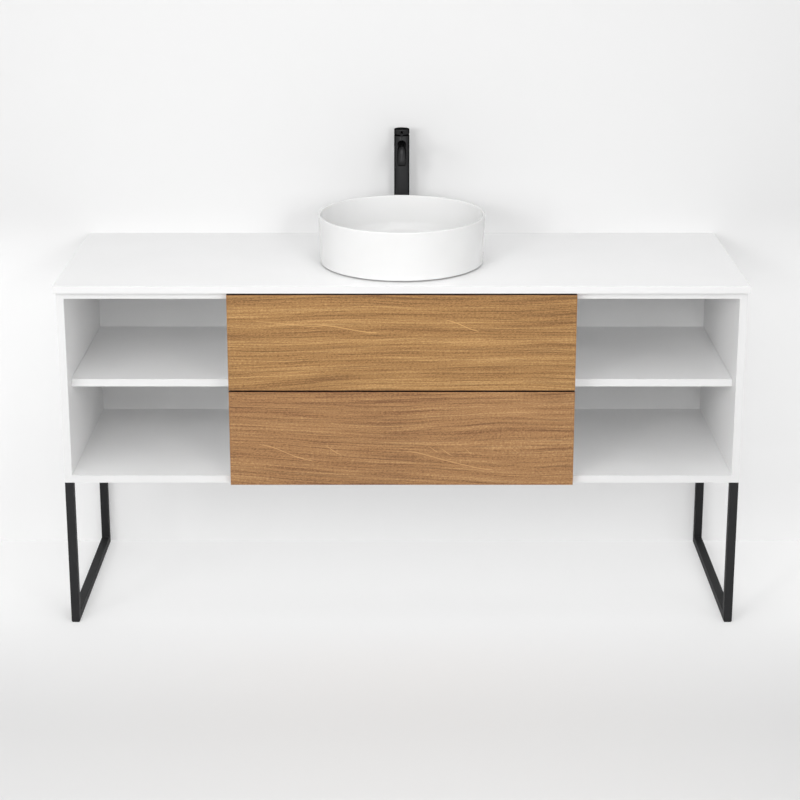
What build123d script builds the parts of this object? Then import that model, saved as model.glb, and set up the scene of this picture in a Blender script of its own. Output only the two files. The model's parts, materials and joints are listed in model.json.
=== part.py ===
from build123d import *
import os
from math import sqrt

# Vessel sink on a vanity: a long countertop on a carcass with an open bay at each end and two
# wood-faced drawers between them, a black sled leg under each end, a round basin standing on
# the countertop and a tall single-lever mixer behind it.
# Millimetres, +Z up. The origin is on the floor under the middle of the countertop. The front
# faces -Y, and the wall is the plane of the countertop's rear edge.

os.makedirs("parts", exist_ok=True)

# ---------------------------------------------------------------- driving dimensions
# Countertop
top_length = 1600.0  # left to right
top_depth = 510.0  # front edge to wall
top_thick = 17.0
top_height = 847.0  # floor to the upper face
top_bevel = 0.8  # softened edge round the upper face

# Carcass
board = 18.0  # thickness of every carcass board
side_overhang = 3.0  # countertop past the carcass at each end
leg_height = 360.0  # floor to the underside of the carcass
back_thick = 8.0  # back panels of the open bays
back_void = 10.0  # space between a back panel and the wall
groove_depth = 6.0  # back panel let into the boards round it
stretcher_depth = 90.0  # board across the drawer bay, under the countertop's front
rail_height = 60.0  # rear rails of the drawer bay
wall_hole_r = 2.75  # screw holes in the rear rails
wall_hole_spacing = 600.0
shelf_rise = 225.0  # upper face of the bottom board to upper face of the shelf
shelf_recess = 43.0  # carcass front edge to shelf front edge
shelf_play = 0.5  # gap at the ends and rear of a shelf
shelf_pin_r = 2.5
shelf_pin_length = 16.0
shelf_pin_depth = 8.0  # part of a pin that is in the board
shelf_pin_inset = 50.0  # pin to the front or rear edge of the shelf
dowel_r = 4.0
dowel_length = 30.0
dowel_face_depth = 10.0  # part of a dowel that is in the face of a board
dowel_inset = 40.0  # first and last dowel to the edges of a board
rail_dowel_inset = 15.0  # dowels to the edges of a rail or stretcher
screw_r = 2.0
screw_head_r = 4.0
screw_head_depth = 2.2
screw_grip = 10.0  # part of a screw that is in the piece it holds

# Sled legs
tube = 20.0  # square tube
tube_wall = 1.5
tube_round = 1.2  # outer corners of the tube
leg_setback = 8.0  # rear post to the wall
pad_thick = 2.0
pad_length = 40.0
pad_inset = 2.0  # pad narrower than the tube, each side
plate_length = 60.0  # welded plate let into the carcass
plate_width = 30.0
plate_thick = 4.0
plate_inset = 1.0
plate_screw_inset = 10.0
plate_screw_pitch = 20.0

# Drawers
front_length = 805.0
front_thick = 18.0
front_clear = 2.0  # drawer front to the carcass's front edges
front_gap = 4.0  # between the fronts, and under the countertop
front_reveal = 2.0  # carcass underside to the lower front's lower edge
front_bevel = 0.6
box_thick = 12.0  # drawer sides, inner front and back
box_height = 140.0
box_lift = 26.0  # front's lower edge to the drawer side's lower edge
panel_thick = 8.0  # drawer bottom
panel_lift = 10.0
panel_groove = 6.0
recess_clear = 32.0  # trap to the recess in the upper drawer
recess_wall = 3.0
front_screw_inset_x = 60.0
front_screw_inset_z = 25.0

# Telescopic runners
runner_width = 13.0  # drawer side to partition
runner_height = 45.0
runner_wall = 1.2
runner_play = 0.3  # between the channels
runner_lip_gap = 2.5  # outer channel's lips to the drawer side
runner_setback = 2.0  # carcass front edge to the runner
runner_rear_clear = 20.0  # runner to the rear rail

# Push latches in the front edges of the partitions
latch_r = 5.0
latch_length = 40.0
plunger_r = 3.0
plunger_fit = 0.05
plunger_stroke = 1.5
plunger_hold = 25.0  # part of a plunger that is in its latch
plunger_gap = 0.3  # plunger's tip to the drawer front

# Basin
rim_r = 200.0
base_r = 195.5
basin_height = 119.0  # countertop to rim
rim_thick = 5.5
bowl_r = 188.0  # foot of the bowl's wall, before its rounding
bowl_depth = 94.0  # rim to the foot of the bowl's wall
bowl_fall = 4.0  # fall of the bowl's floor towards the waste
bowl_round = 30.0
base_round = 2.5
foot_r = 180.0
foot_width = 30.0
foot_gap = 3.0  # shadow gap between the basin's wall and the countertop
foot_hollow = 2.0  # underside of the basin inside its foot ring
seal_thick = 1.0
seal_inset = 2.0

# Waste
flange_r = 33.0
flange_thick = 3.0
flange_play = 0.5
waste_r = 21.0
waste_wall = 3.0
waste_hole_r = 24.0  # holes for the waste in the basin and the countertop
plug_r = 29.0
plug_thick = 3.0
plug_seat_gap = 0.3
plug_stem_r = 4.0
plug_stem_length = 34.0
plug_fit = 0.05
guide_drop = 16.0  # flange to the plug's guide
guide_height = 12.0
guide_r = 7.0
guide_bar = 8.0
waste_nut_r = 34.0
waste_nut_thick = 10.0

# Trap
nut_play = 0.2
trap_r = 30.0
trap_wall = 4.0
trap_half = 22.0  # half the height of the trap's body
trap_neck_r = 18.0
trap_neck_length = 34.0
trap_collar = 3.0
bottle_height = 62.0
bottle_lip = 12.0
dip_r = 15.0
dip_wall = 2.0
dip_clear = 20.0  # dip tube's end to the bottle's floor
arm_r = 16.0
arm_wall = 1.5
branch_r = 20.0
branch_length = 30.0  # past the trap's body
branch_engage = 20.0  # part of the arm that is in the branch
branch_bore_r = 13.0
union_length = 24.0
union_cover = 12.0  # part of a union nut that covers the neck or branch
union_wall = 5.0
cover_r = 33.0  # wall cover plate of the arm
cover_depth = 12.0
cover_clear = 9.0  # cover plate to the upper rear rail

# Mixer
body_r = 19.0
mixer_height = 280.0  # countertop to the top of the cap
mixer_gap = 18.0  # basin's rim to mixer
mixer_foot_r = 24.0
mixer_foot_thick = 4.0
shank_r = 16.5
shank_length = 45.0  # below the countertop's upper face
tap_hole_r = 17.5
mixer_nut_r = 24.0
mixer_nut_thick = 12.0
mixer_washer_thick = 3.0
mixer_nut_clear = 3.0  # mixer's nut to the upper rear rail
inlet_r = 4.5
inlet_depth = 12.0
inlet_spacing = 15.0
waterway_r = 3.25
cap_height = 13.5
cap_round = 2.0
cap_rim = 1.1  # flat rim under the cap
dome_play = 0.4  # cap to dome
pivot_drop = 16.0  # cap's rim to the lever's pivot
chamber_r = 16.0
mixing_r = 13.0
mixing_height = 18.0
ring_hole_r = 12.5  # hole in the cartridge's retaining ring
cartridge_play = 0.2
housing_wall = 2.0
housing_floor = 4.0
carrier_fit = 0.1
carrier_lift = 0.3
carrier_above = 9.5  # above the pivot
carrier_below = 11.0
slot_depth = 5.5  # below the pivot
stem_r = 3.0
eye_r = 5.0
eye_width = 6.0
eye_play = 0.3
pivot_pin_r = 2.0
pivot_fit = 0.05
pivot_pin_length = 26.0
stem_grip = 3.0  # stem let into the cap
lever_r = 3.5
lever_length = 30.0  # past the cap
lever_grip = 3.5  # lever let into the cap
lever_rise = 6.5  # cap's rim to the lever's axis
lever_round = 0.6
spout_r = 11.0
spout_bore_r = 7.5
spout_drop = 24.0  # cap's rim to the spout's centre line
spout_reach = 108.0  # mixer's axis to the mouth's centre
spout_bend = 27.0
spout_lip = 4.0  # straight end below the bend
spigot_r = 9.0
spigot_play = 0.1
aerator_r = 9.3
aerator_height = 8.0
aerator_hole_r = 1.1
aerator_ring_r = 4.6

# ---------------------------------------------------------------- places worked out from them
wall_y = top_depth / 2
front_y = -top_depth / 2
top_low = top_height - top_thick
carcass_front = front_y + front_thick + front_clear
side_out = top_length / 2 - side_overhang
side_in = side_out - board
partition_out = front_length / 2
partition_in = partition_out - board
floor_top = leg_height + board  # upper face of the bottom board
ceiling = top_low - board  # lower face of the top boards
back_face = wall_y - back_void - back_thick
rail_front = wall_y - board
upper_rail_low = top_low - rail_height
shelf_top = floor_top + shelf_rise

front_back = front_y + front_thick
front_height = (top_low - leg_height - front_reveal - 2 * front_gap) / 2
lower_front_low = leg_height + front_reveal
upper_front_low = lower_front_low + front_height + front_gap
runner_front = carcass_front + runner_setback
runner_back = rail_front - runner_rear_clear
box_out = partition_in - runner_width
box_in = box_out - box_thick

mixer_y = rail_front - mixer_nut_clear - mixer_nut_r
basin_y = mixer_y - body_r - mixer_gap - rim_r
rim_z = top_height + basin_height
base_z = top_height + foot_gap
foot_z = top_height + seal_thick
bowl_z = rim_z - bowl_depth
seat_z = bowl_z - bowl_fall  # bowl's floor at the waste
flange_z = seat_z - flange_thick
outlet_z = upper_rail_low - cover_clear - cover_r
trap_low = outlet_z - trap_half
trap_high = outlet_z + trap_half
neck_high = trap_high + trap_neck_length
recess_r = trap_r + recess_clear
recess_out = recess_r + recess_wall

cap_high = top_height + mixer_height
cap_low = cap_high - cap_height
pivot_z = cap_low - pivot_drop
cavity_r = sqrt((body_r - cap_rim) ** 2 + pivot_drop**2)
dome_r = cavity_r - dome_play
spout_z = cap_low - spout_drop
mouth_z = spout_z - spout_bend - spout_lip
carrier_low = pivot_z - carrier_below
carrier_high = pivot_z + carrier_above
housing_low = carrier_low - carrier_lift - housing_floor
housing_high = carrier_high + carrier_lift

hands = (("left", -1), ("right", 1))
BASE = (Align.CENTER, Align.CENTER, Align.MIN)
CORNER = (Align.MIN, Align.MIN, Align.MIN)


# ---------------------------------------------------------------- helpers
def span(way, near, far):
    """The stretch from near to far, on the side of the middle that way (-1 or 1) names."""
    return min(way * near, way * far), max(way * near, way * far)


def plank(x, y, z, mode=Mode.ADD):
    """Adds, or cuts, the block that fills the three stretches x, y and z."""
    with Locations((x[0], y[0], z[0])):
        Box(x[1] - x[0], y[1] - y[0], z[1] - z[0], align=CORNER, mode=mode)


def peg(point, direction, radius, length, mode=Mode.ADD):
    """Adds, or cuts, a round peg that starts at point and runs along direction."""
    with Locations(Plane(origin=point, z_dir=direction)):
        Cylinder(radius, length, align=BASE, mode=mode)


def screw(point, direction, length, mode=Mode.ADD):
    """Adds, or cuts, a countersunk screw with its head's flat face at point."""
    with Locations(Plane(origin=point, z_dir=direction)):
        Cone(screw_head_r, screw_r, screw_head_depth, align=BASE, mode=mode)
        Cylinder(screw_r, length, align=BASE, mode=mode)


def turned(points, centre_y):
    """Turns the outline of (radius, height) points round the upright axis at centre_y."""
    with BuildSketch(Plane.XZ.offset(-centre_y)) as outline:
        with BuildLine():
            Polyline(*points, close=True)
        make_face()
    revolve(outline.sketch, axis=Axis((0, centre_y, 0), (0, 0, 1)))


def bore(centre_y, radius, low, high):
    """Cuts an upright round hole from low to high."""
    peg((0, centre_y, low), (0, 0, 1), radius, high - low, mode=Mode.SUBTRACT)


def dome_height(radius, ball_r):
    """Height, at this radius, of a ball round the lever's pivot."""
    return pivot_z + sqrt(ball_r**2 - radius**2)


def finish(builder, name):
    """Labels a finished piece and writes it."""
    builder.part.label = name
    export_step(builder.part, f"parts/{name}.step")


# ---------------------------------------------------------------- joinery shared by the boards
def even(low, high, count):
    """Places spread evenly from low to high."""
    return [low + (high - low) * i / (count - 1) for i in range(count)]


def dowel_seats():
    """Each dowel's point on the joint and its direction, out of the face into the end."""
    seats = []
    along = even(carcass_front + dowel_inset, wall_y - dowel_inset, 3)
    stretcher_back = carcass_front + stretcher_depth
    stretcher = even(carcass_front + rail_dowel_inset, stretcher_back - rail_dowel_inset, 2)
    rail_y = rail_front + board / 2
    upper = even(upper_rail_low + rail_dowel_inset, top_low - rail_dowel_inset, 2)
    lower = even(floor_top + rail_dowel_inset, floor_top + rail_height - rail_dowel_inset, 2)
    for _, way in hands:
        for y in along:
            seats.append(((way * side_in, y, leg_height + board / 2), (-way, 0, 0)))
            seats.append(((way * side_in, y, ceiling + board / 2), (-way, 0, 0)))
            seats.append(((way * partition_out, y, ceiling + board / 2), (way, 0, 0)))
            seats.append(((way * (partition_in + board / 2), y, floor_top), (0, 0, 1)))
        for y in stretcher:
            seats.append(((way * partition_in, y, ceiling + board / 2), (-way, 0, 0)))
        for z in upper + lower:
            seats.append(((way * partition_in, rail_y, z), (-way, 0, 0)))
    return seats


def dowels(mode=Mode.ADD):
    """Adds, or cuts, every dowel of the carcass."""
    for point, direction in dowel_seats():
        start = Vector(point) - Vector(direction) * dowel_face_depth
        peg(start, direction, dowel_r, dowel_length, mode)


def countertop_screws(mode=Mode.ADD):
    """Adds, or cuts, the screws that hold the countertop from below."""
    bay_middle = (partition_out + side_in) / 2
    stretcher_y = carcass_front + stretcher_depth / 2
    rows = (stretcher_y, back_face - stretcher_depth)
    places = [(way * bay_middle, y) for way in (-1, 1) for y in rows]
    places += [(way * partition_in / 2, stretcher_y) for way in (-1, 1)]
    for x, y in places:
        screw((x, y, ceiling), (0, 0, 1), board + screw_grip, mode)


def plate_stretches():
    """The x, y and z stretches of the four mounting plates on the sled legs."""
    z = (leg_height, leg_height + plate_thick)
    front = (carcass_front + plate_inset, carcass_front + plate_inset + plate_width)
    rear_edge = wall_y - leg_setback - plate_inset
    rear = (rear_edge - plate_width, rear_edge)
    x_far = side_out - plate_inset
    return [(span(way, x_far - plate_length, x_far), y, z) for _, way in hands for y in (front, rear)]


def leg_screws(mode=Mode.ADD):
    """Adds, or cuts, two screws through each mounting plate into the bottom board."""
    for x, y, z in plate_stretches():
        way = 1 if x[0] > 0 else -1
        inner = min(abs(x[0]), abs(x[1])) + plate_screw_inset
        for step in (0, plate_screw_pitch):
            head = (way * (inner + step), (y[0] + y[1]) / 2, z[0])
            screw(head, (0, 0, 1), plate_thick + screw_grip, mode)


def shelf_pins(mode=Mode.ADD):
    """Adds, or cuts, the four pins under each shelf."""
    z = shelf_top - board - shelf_pin_r
    front = carcass_front + shelf_recess + shelf_pin_inset
    rear = back_face - shelf_play - shelf_pin_inset
    for _, way in hands:
        for y in (front, rear):
            near = (way * (partition_out - shelf_pin_depth), y, z)
            far = (way * (side_in + shelf_pin_depth), y, z)
            peg(near, (way, 0, 0), shelf_pin_r, shelf_pin_length, mode)
            peg(far, (-way, 0, 0), shelf_pin_r, shelf_pin_length, mode)


def back_groove(x, z):
    """Cuts the groove that a back panel sits in."""
    plank(x, (back_face, back_face + back_thick), z, mode=Mode.SUBTRACT)


def latch_places():
    """The height of each drawer's latches, and the x of each partition's middle."""
    heights = {"lower": lower_front_low + front_height / 2, "upper": upper_front_low + front_height / 2}
    return heights, partition_in + board / 2


bay_groove = (partition_out - groove_depth, side_in + groove_depth)
groove_z = (floor_top - groove_depth, ceiling + groove_depth)
full_depth = (carcass_front, wall_y)

# ---------------------------------------------------------------- countertop
with BuildPart() as countertop:
    plank((-top_length / 2, top_length / 2), (front_y, wall_y), (top_low, top_height))
    chamfer(countertop.faces().sort_by(Axis.Z)[-1].edges(), top_bevel)
    bore(mixer_y, tap_hole_r, top_low, top_height)
    bore(basin_y, waste_hole_r, top_low, top_height)
    countertop_screws(Mode.SUBTRACT)
finish(countertop, "countertop")

# ---------------------------------------------------------------- carcass
for hand, way in hands:
    with BuildPart() as side:
        plank(span(way, side_in, side_out), full_depth, (leg_height, top_low))
        back_groove(span(way, side_in, side_in + groove_depth), groove_z)
        dowels(Mode.SUBTRACT)
        shelf_pins(Mode.SUBTRACT)
        for stretches in plate_stretches():
            plank(*stretches, mode=Mode.SUBTRACT)
    finish(side, f"{hand}_side")

    with BuildPart() as partition:
        plank(span(way, partition_in, partition_out), full_depth, (floor_top, top_low))
        back_groove(span(way, partition_out - groove_depth, partition_out), groove_z)
        dowels(Mode.SUBTRACT)
        shelf_pins(Mode.SUBTRACT)
        latch_heights, latch_x = latch_places()
        for z in latch_heights.values():
            peg((way * latch_x, carcass_front, z), (0, 1, 0), latch_r, latch_length, Mode.SUBTRACT)
    finish(partition, f"{hand}_partition")

with BuildPart() as bottom_board:
    plank((-side_in, side_in), full_depth, (leg_height, floor_top))
    for _, way in hands:
        under_panel = span(way, partition_out - groove_depth, side_in)
        back_groove(under_panel, (floor_top - groove_depth, floor_top))
    dowels(Mode.SUBTRACT)
    for stretches in plate_stretches():
        plank(*stretches, mode=Mode.SUBTRACT)
    leg_screws(Mode.SUBTRACT)
finish(bottom_board, "bottom_board")

with BuildPart() as top_boards:
    for _, way in hands:
        plank(span(way, partition_out, side_in), full_depth, (ceiling, top_low))
        back_groove(span(way, partition_out, side_in), (ceiling, ceiling + groove_depth))
    dowels(Mode.SUBTRACT)
    countertop_screws(Mode.SUBTRACT)
finish(top_boards, "top_boards")

with BuildPart() as front_stretcher:
    plank(
        (-partition_in, partition_in),
        (carcass_front, carcass_front + stretcher_depth),
        (ceiling, top_low),
    )
    dowels(Mode.SUBTRACT)
    countertop_screws(Mode.SUBTRACT)
finish(front_stretcher, "front_stretcher")

with BuildPart() as rear_rails:
    for low in (floor_top, upper_rail_low):
        plank((-partition_in, partition_in), (rail_front, wall_y), (low, low + rail_height))
        for way in (-1, 1):
            hole = (way * wall_hole_spacing / 2, rail_front, low + rail_height / 2)
            peg(hole, (0, 1, 0), wall_hole_r, board, Mode.SUBTRACT)
    dowels(Mode.SUBTRACT)
finish(rear_rails, "rear_rails")

with BuildPart() as back_panels:
    for _, way in hands:
        plank(span(way, *bay_groove), (back_face, back_face + back_thick), groove_z)
finish(back_panels, "back_panels")

with BuildPart() as shelves:
    for _, way in hands:
        plank(
            span(way, partition_out + shelf_play, side_in - shelf_play),
            (carcass_front + shelf_recess, back_face - shelf_play),
            (shelf_top - board, shelf_top),
        )
finish(shelves, "shelves")

with BuildPart() as shelf_pin_set:
    shelf_pins()
finish(shelf_pin_set, "shelf_pins")

with BuildPart() as dowel_set:
    dowels()
finish(dowel_set, "dowels")

with BuildPart() as carcass_screws:
    countertop_screws()
    leg_screws()
finish(carcass_screws, "carcass_screws")


# ---------------------------------------------------------------- sled legs
def sled_outline(inset):
    """The U of a sled leg seen from the side, with its tube's skin moved in by inset."""
    front = carcass_front
    rear = wall_y - leg_setback
    low = pad_thick
    near = tube - inset
    with BuildSketch(Plane.YZ) as outline:
        with BuildLine():
            Polyline(
                (front + inset, leg_height),
                (front + inset, low + inset),
                (rear - inset, low + inset),
                (rear - inset, leg_height),
                (rear - near, leg_height),
                (rear - near, low + near),
                (front + near, low + near),
                (front + near, leg_height),
                close=True,
            )
        make_face()
    return outline.sketch


for hand, way in hands:
    with BuildPart() as leg_frame:
        x_low = span(way, side_out - tube, side_out)[0]
        extrude(Pos(X=x_low) * sled_outline(0.0), amount=tube)
        long_edges = leg_frame.edges().filter_by(lambda edge: edge.center().Z < leg_height - tube_wall)
        fillet(long_edges, tube_round)
        hollow = Pos(X=x_low + tube_wall) * sled_outline(tube_wall)
        extrude(hollow, amount=tube - 2 * tube_wall, mode=Mode.SUBTRACT)
    finish(leg_frame, f"{hand}_leg_frame")

with BuildPart() as leg_plates:
    for stretches in plate_stretches():
        plank(*stretches)
    leg_screws(Mode.SUBTRACT)
finish(leg_plates, "leg_plates")

with BuildPart() as leg_pads:
    rail_span = (carcass_front + tube_round, wall_y - leg_setback - tube_round)
    for _, way in hands:
        for y in ((rail_span[0], rail_span[0] + pad_length), (rail_span[1] - pad_length, rail_span[1])):
            plank(span(way, side_out - tube + pad_inset, side_out - pad_inset), y, (0.0, pad_thick))
finish(leg_pads, "leg_pads")


# ---------------------------------------------------------------- drawers and their runners
def channel(way, web, lips, z_middle, height):
    """Adds one steel channel, from its web's outer x to its lips' x, on one side."""
    toward = 1 if lips > web else -1
    y = (runner_front, runner_back)
    plank(span(way, web, web + toward * runner_wall), y, (z_middle - height / 2, z_middle + height / 2))
    for low in (z_middle - height / 2, z_middle + height / 2 - runner_wall):
        plank(span(way, web, lips), y, (low, low + runner_wall))


def runner_middle(front_low):
    """Height of a drawer's runners."""
    return front_low + box_lift + box_height / 2


drawers = (("upper", upper_front_low), ("lower", lower_front_low))
middle_height = runner_height - 2 * (runner_wall + runner_play)
inner_height = middle_height - 2 * (runner_wall + runner_play)
middle_web = partition_in - runner_wall - runner_play
inner_lips = middle_web - runner_wall - runner_play

with BuildPart() as cabinet_runners:
    for _, front_low in drawers:
        for _, way in hands:
            channel(way, partition_in, box_out + runner_lip_gap, runner_middle(front_low), runner_height)
finish(cabinet_runners, "cabinet_runners")

with BuildPart() as push_latches:
    latch_heights, latch_x = latch_places()
    for z in latch_heights.values():
        for _, way in hands:
            mouth = (way * latch_x, carcass_front, z)
            peg(mouth, (0, 1, 0), latch_r, latch_length)
            hollow = plunger_hold + 2 * plunger_stroke
            peg(mouth, (0, 1, 0), plunger_r + plunger_fit, hollow, Mode.SUBTRACT)
finish(push_latches, "push_latches")


def recess_outline(radius):
    """The U round the trap: a half circle in front of it and straight sides to the rear."""
    with BuildSketch(Plane.XY) as outline:
        with Locations((0, basin_y)):
            Circle(radius)
        with Locations((0, (basin_y + runner_back) / 2)):
            Rectangle(2 * radius, runner_back - basin_y)
    return outline.sketch


for level, front_low in drawers:
    box_low = front_low + box_lift
    box_high = box_low + box_height
    panel_low = box_low + panel_lift
    panel_high = panel_low + panel_thick
    box_depth = (front_back, runner_back)
    back_start = recess_out if level == "upper" else 0.0
    screw_places = [
        (way * (box_in - front_screw_inset_x), front_back + box_thick, z)
        for way in (-1, 1)
        for z in (panel_high + front_screw_inset_z, box_high - front_screw_inset_z)
    ]

    with BuildPart() as drawer_front:
        plank((-partition_out, partition_out), (front_y, front_back), (front_low, front_low + front_height))
        chamfer(drawer_front.faces().sort_by(Axis.Y)[0].edges(), front_bevel)
        for place in screw_places:
            screw(place, (0, -1, 0), box_thick + screw_grip, Mode.SUBTRACT)
    finish(drawer_front, f"{level}_drawer_front")

    with BuildPart() as drawer_sides:
        for _, way in hands:
            plank(span(way, box_in, box_out), box_depth, (box_low, box_high))
            groove = span(way, box_in, box_in + panel_groove)
            plank(groove, box_depth, (panel_low, panel_high), mode=Mode.SUBTRACT)
    finish(drawer_sides, f"{level}_drawer_sides")

    with BuildPart() as inner_front:
        plank((-box_in, box_in), (front_back, front_back + box_thick), (panel_high, box_high))
        for place in screw_places:
            screw(place, (0, -1, 0), box_thick + screw_grip, Mode.SUBTRACT)
    finish(inner_front, f"{level}_inner_front")

    with BuildPart() as drawer_back:
        back_depth = (runner_back - box_thick, runner_back)
        for _, way in hands:
            plank(span(way, back_start, box_in), back_depth, (panel_high, box_high))
    finish(drawer_back, f"{level}_drawer_back")

    with BuildPart() as drawer_bottom:
        plank((-box_in - panel_groove, box_in + panel_groove), box_depth, (panel_low, panel_high))
        if level == "upper":
            cut = Pos(Z=panel_low) * recess_outline(recess_out)
            extrude(cut, amount=panel_thick, mode=Mode.SUBTRACT)
    finish(drawer_bottom, f"{level}_drawer_bottom")

    with BuildPart() as front_screws:
        for place in screw_places:
            screw(place, (0, -1, 0), box_thick + screw_grip)
    finish(front_screws, f"{level}_front_screws")

    with BuildPart() as drawer_runners:
        for _, way in hands:
            channel(way, box_out, inner_lips, runner_middle(front_low), inner_height)
    finish(drawer_runners, f"{level}_drawer_runners")

    with BuildPart() as middle_runners:
        for _, way in hands:
            channel(way, middle_web, box_out + runner_lip_gap, runner_middle(front_low), middle_height)
    finish(middle_runners, f"{level}_middle_runners")

    with BuildPart() as latch_plungers:
        latch_heights, latch_x = latch_places()
        tip = front_back + plunger_gap
        for _, way in hands:
            start = (way * latch_x, tip, latch_heights[level])
            peg(start, (0, 1, 0), plunger_r, carcass_front + plunger_hold - tip)
    finish(latch_plungers, f"{level}_latch_plungers")

with BuildPart() as drawer_recess:
    low = upper_front_low + box_lift + panel_lift
    height = box_height - panel_lift
    extrude(Pos(Z=low) * recess_outline(recess_out), amount=height)
    extrude(Pos(Z=low) * recess_outline(recess_r), amount=height, mode=Mode.SUBTRACT)
finish(drawer_recess, "upper_drawer_recess")

# ---------------------------------------------------------------- basin
with BuildPart() as basin:
    with BuildSketch(Plane.XZ.offset(-basin_y)) as wall:
        with BuildLine():
            Polyline(
                (waste_hole_r, foot_z + foot_hollow),
                (foot_r - foot_width, foot_z + foot_hollow),
                (foot_r - foot_width, foot_z),
                (foot_r, foot_z),
                (foot_r, base_z),
                (base_r, base_z),
                (rim_r, rim_z),
                (rim_r - rim_thick, rim_z),
                (bowl_r, bowl_z),
                (flange_r + flange_play, seat_z),
                (flange_r + flange_play, flange_z),
                (waste_hole_r, flange_z),
                close=True,
            )
        make_face()
        rim_corners = wall.vertices().group_by(Axis.Y)[-1]
        fillet(rim_corners, 0.48 * rim_thick)
        outer_corner = wall.vertices().sort_by_distance((base_r, base_z))[0]
        fillet(outer_corner, base_round)
        inner_corner = wall.vertices().sort_by_distance((bowl_r, bowl_z))[0]
        fillet(inner_corner, bowl_round)
    revolve(axis=Axis((0, basin_y, 0), (0, 0, 1)))
finish(basin, "basin")

with BuildPart() as basin_seal:
    turned(
        [
            (foot_r - foot_width + seal_inset, top_height),
            (foot_r - seal_inset, top_height),
            (foot_r - seal_inset, foot_z),
            (foot_r - foot_width + seal_inset, foot_z),
        ],
        basin_y,
    )
finish(basin_seal, "basin_seal")

# ---------------------------------------------------------------- waste
with BuildPart() as waste_body:
    guide_high = flange_z - guide_drop
    turned(
        [
            (waste_r - waste_wall, neck_high),
            (waste_r, neck_high),
            (waste_r, flange_z),
            (flange_r, flange_z),
            (flange_r, seat_z),
            (waste_r - waste_wall, seat_z),
        ],
        basin_y,
    )
    bar_reach = waste_r - waste_wall / 2
    bar_y = (basin_y - guide_bar / 2, basin_y + guide_bar / 2)
    plank((-bar_reach, bar_reach), bar_y, (guide_high - guide_bar, guide_high))
    peg((0, basin_y, guide_high - guide_height), (0, 0, 1), guide_r, guide_height)
    bore(basin_y, plug_stem_r + plug_fit, guide_high - guide_height, guide_high)
finish(waste_body, "waste_body")

with BuildPart() as waste_plug:
    plug_low = seat_z + plug_seat_gap
    peg((0, basin_y, plug_low), (0, 0, 1), plug_r, plug_thick)
    fillet(waste_plug.edges().sort_by(Axis.Z)[-1], plug_thick * 0.6)
    peg((0, basin_y, plug_low - plug_stem_length), (0, 0, 1), plug_stem_r, plug_stem_length)
finish(waste_plug, "waste_plug")

# ---------------------------------------------------------------- trap, arm and their nuts
with BuildPart() as trap_body:
    turned(
        [
            (dip_r, trap_low - bottle_height + trap_wall + dip_clear),
            (dip_r, trap_high - trap_wall),
            (trap_r - trap_wall, trap_high - trap_wall),
            (trap_r - trap_wall, trap_low),
            (trap_r, trap_low),
            (trap_r, trap_high),
            (trap_neck_r, trap_high),
            (trap_neck_r, neck_high - trap_collar),
            (waste_r, neck_high - trap_collar),
            (waste_r, neck_high),
            (dip_r - dip_wall, neck_high),
            (dip_r - dip_wall, trap_low - bottle_height + trap_wall + dip_clear),
        ],
        basin_y,
    )
    branch_start = basin_y + trap_r - trap_wall / 2
    branch_end = basin_y + trap_r + branch_length
    peg((0, branch_start, outlet_z), (0, 1, 0), branch_r, branch_end - branch_start)
    peg((0, branch_end - branch_engage, outlet_z), (0, 1, 0), arm_r, branch_engage, Mode.SUBTRACT)
    water_start = basin_y + dip_r + dip_wall
    peg((0, water_start, outlet_z), (0, 1, 0), branch_bore_r, branch_end - water_start, Mode.SUBTRACT)
finish(trap_body, "trap_body")

with BuildPart() as trap_bottle:
    lip_r = trap_r - trap_wall - nut_play
    turned(
        [
            (0.0, trap_low - bottle_height),
            (trap_r, trap_low - bottle_height),
            (trap_r, trap_low),
            (lip_r, trap_low),
            (lip_r, trap_low + bottle_lip),
            (lip_r - trap_wall, trap_low + bottle_lip),
            (lip_r - trap_wall, trap_low - bottle_height + trap_wall),
            (0.0, trap_low - bottle_height + trap_wall),
        ],
        basin_y,
    )
    fillet(trap_bottle.edges().sort_by(Axis.Z)[0], trap_wall)
finish(trap_bottle, "trap_bottle")

with BuildPart() as plumbing_nuts:
    # nut under the countertop
    with BuildSketch(Plane.XY.offset(top_low - waste_nut_thick)):
        with Locations((0, basin_y)):
            RegularPolygon(waste_nut_r, 8)
            Circle(waste_r + nut_play, mode=Mode.SUBTRACT)
    extrude(amount=waste_nut_thick)
    # union nut of the waste and the trap's neck
    collar_low = neck_high - trap_collar
    union_high = neck_high + union_length - union_cover
    turned(
        [
            (trap_neck_r + nut_play, neck_high - union_cover),
            (waste_r + union_wall, neck_high - union_cover),
            (waste_r + union_wall, union_high),
            (waste_r + nut_play, union_high),
            (waste_r + nut_play, collar_low),
            (trap_neck_r + nut_play, collar_low),
        ],
        basin_y,
    )
    # union nut of the branch and the arm
    union_start = branch_end - union_cover
    peg((0, union_start, outlet_z), (0, 1, 0), branch_r + union_wall, union_length)
    peg((0, union_start, outlet_z), (0, 1, 0), branch_r + nut_play, union_cover, Mode.SUBTRACT)
    peg((0, union_start, outlet_z), (0, 1, 0), arm_r + nut_play, union_length, Mode.SUBTRACT)
finish(plumbing_nuts, "plumbing_nuts")

with BuildPart() as trap_arm:
    arm_start = branch_end - branch_engage
    peg((0, arm_start, outlet_z), (0, 1, 0), arm_r, wall_y - arm_start)
    peg((0, arm_start, outlet_z), (0, 1, 0), arm_r - arm_wall, wall_y - arm_start, Mode.SUBTRACT)
finish(trap_arm, "trap_arm")

with BuildPart() as wall_cover:
    with Locations(Plane(origin=(0, wall_y, outlet_z), z_dir=(0, -1, 0))):
        Cone(cover_r, branch_r, cover_depth, align=BASE)
        Cylinder(arm_r + nut_play, cover_depth, align=BASE, mode=Mode.SUBTRACT)
finish(wall_cover, "wall_cover")

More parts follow.
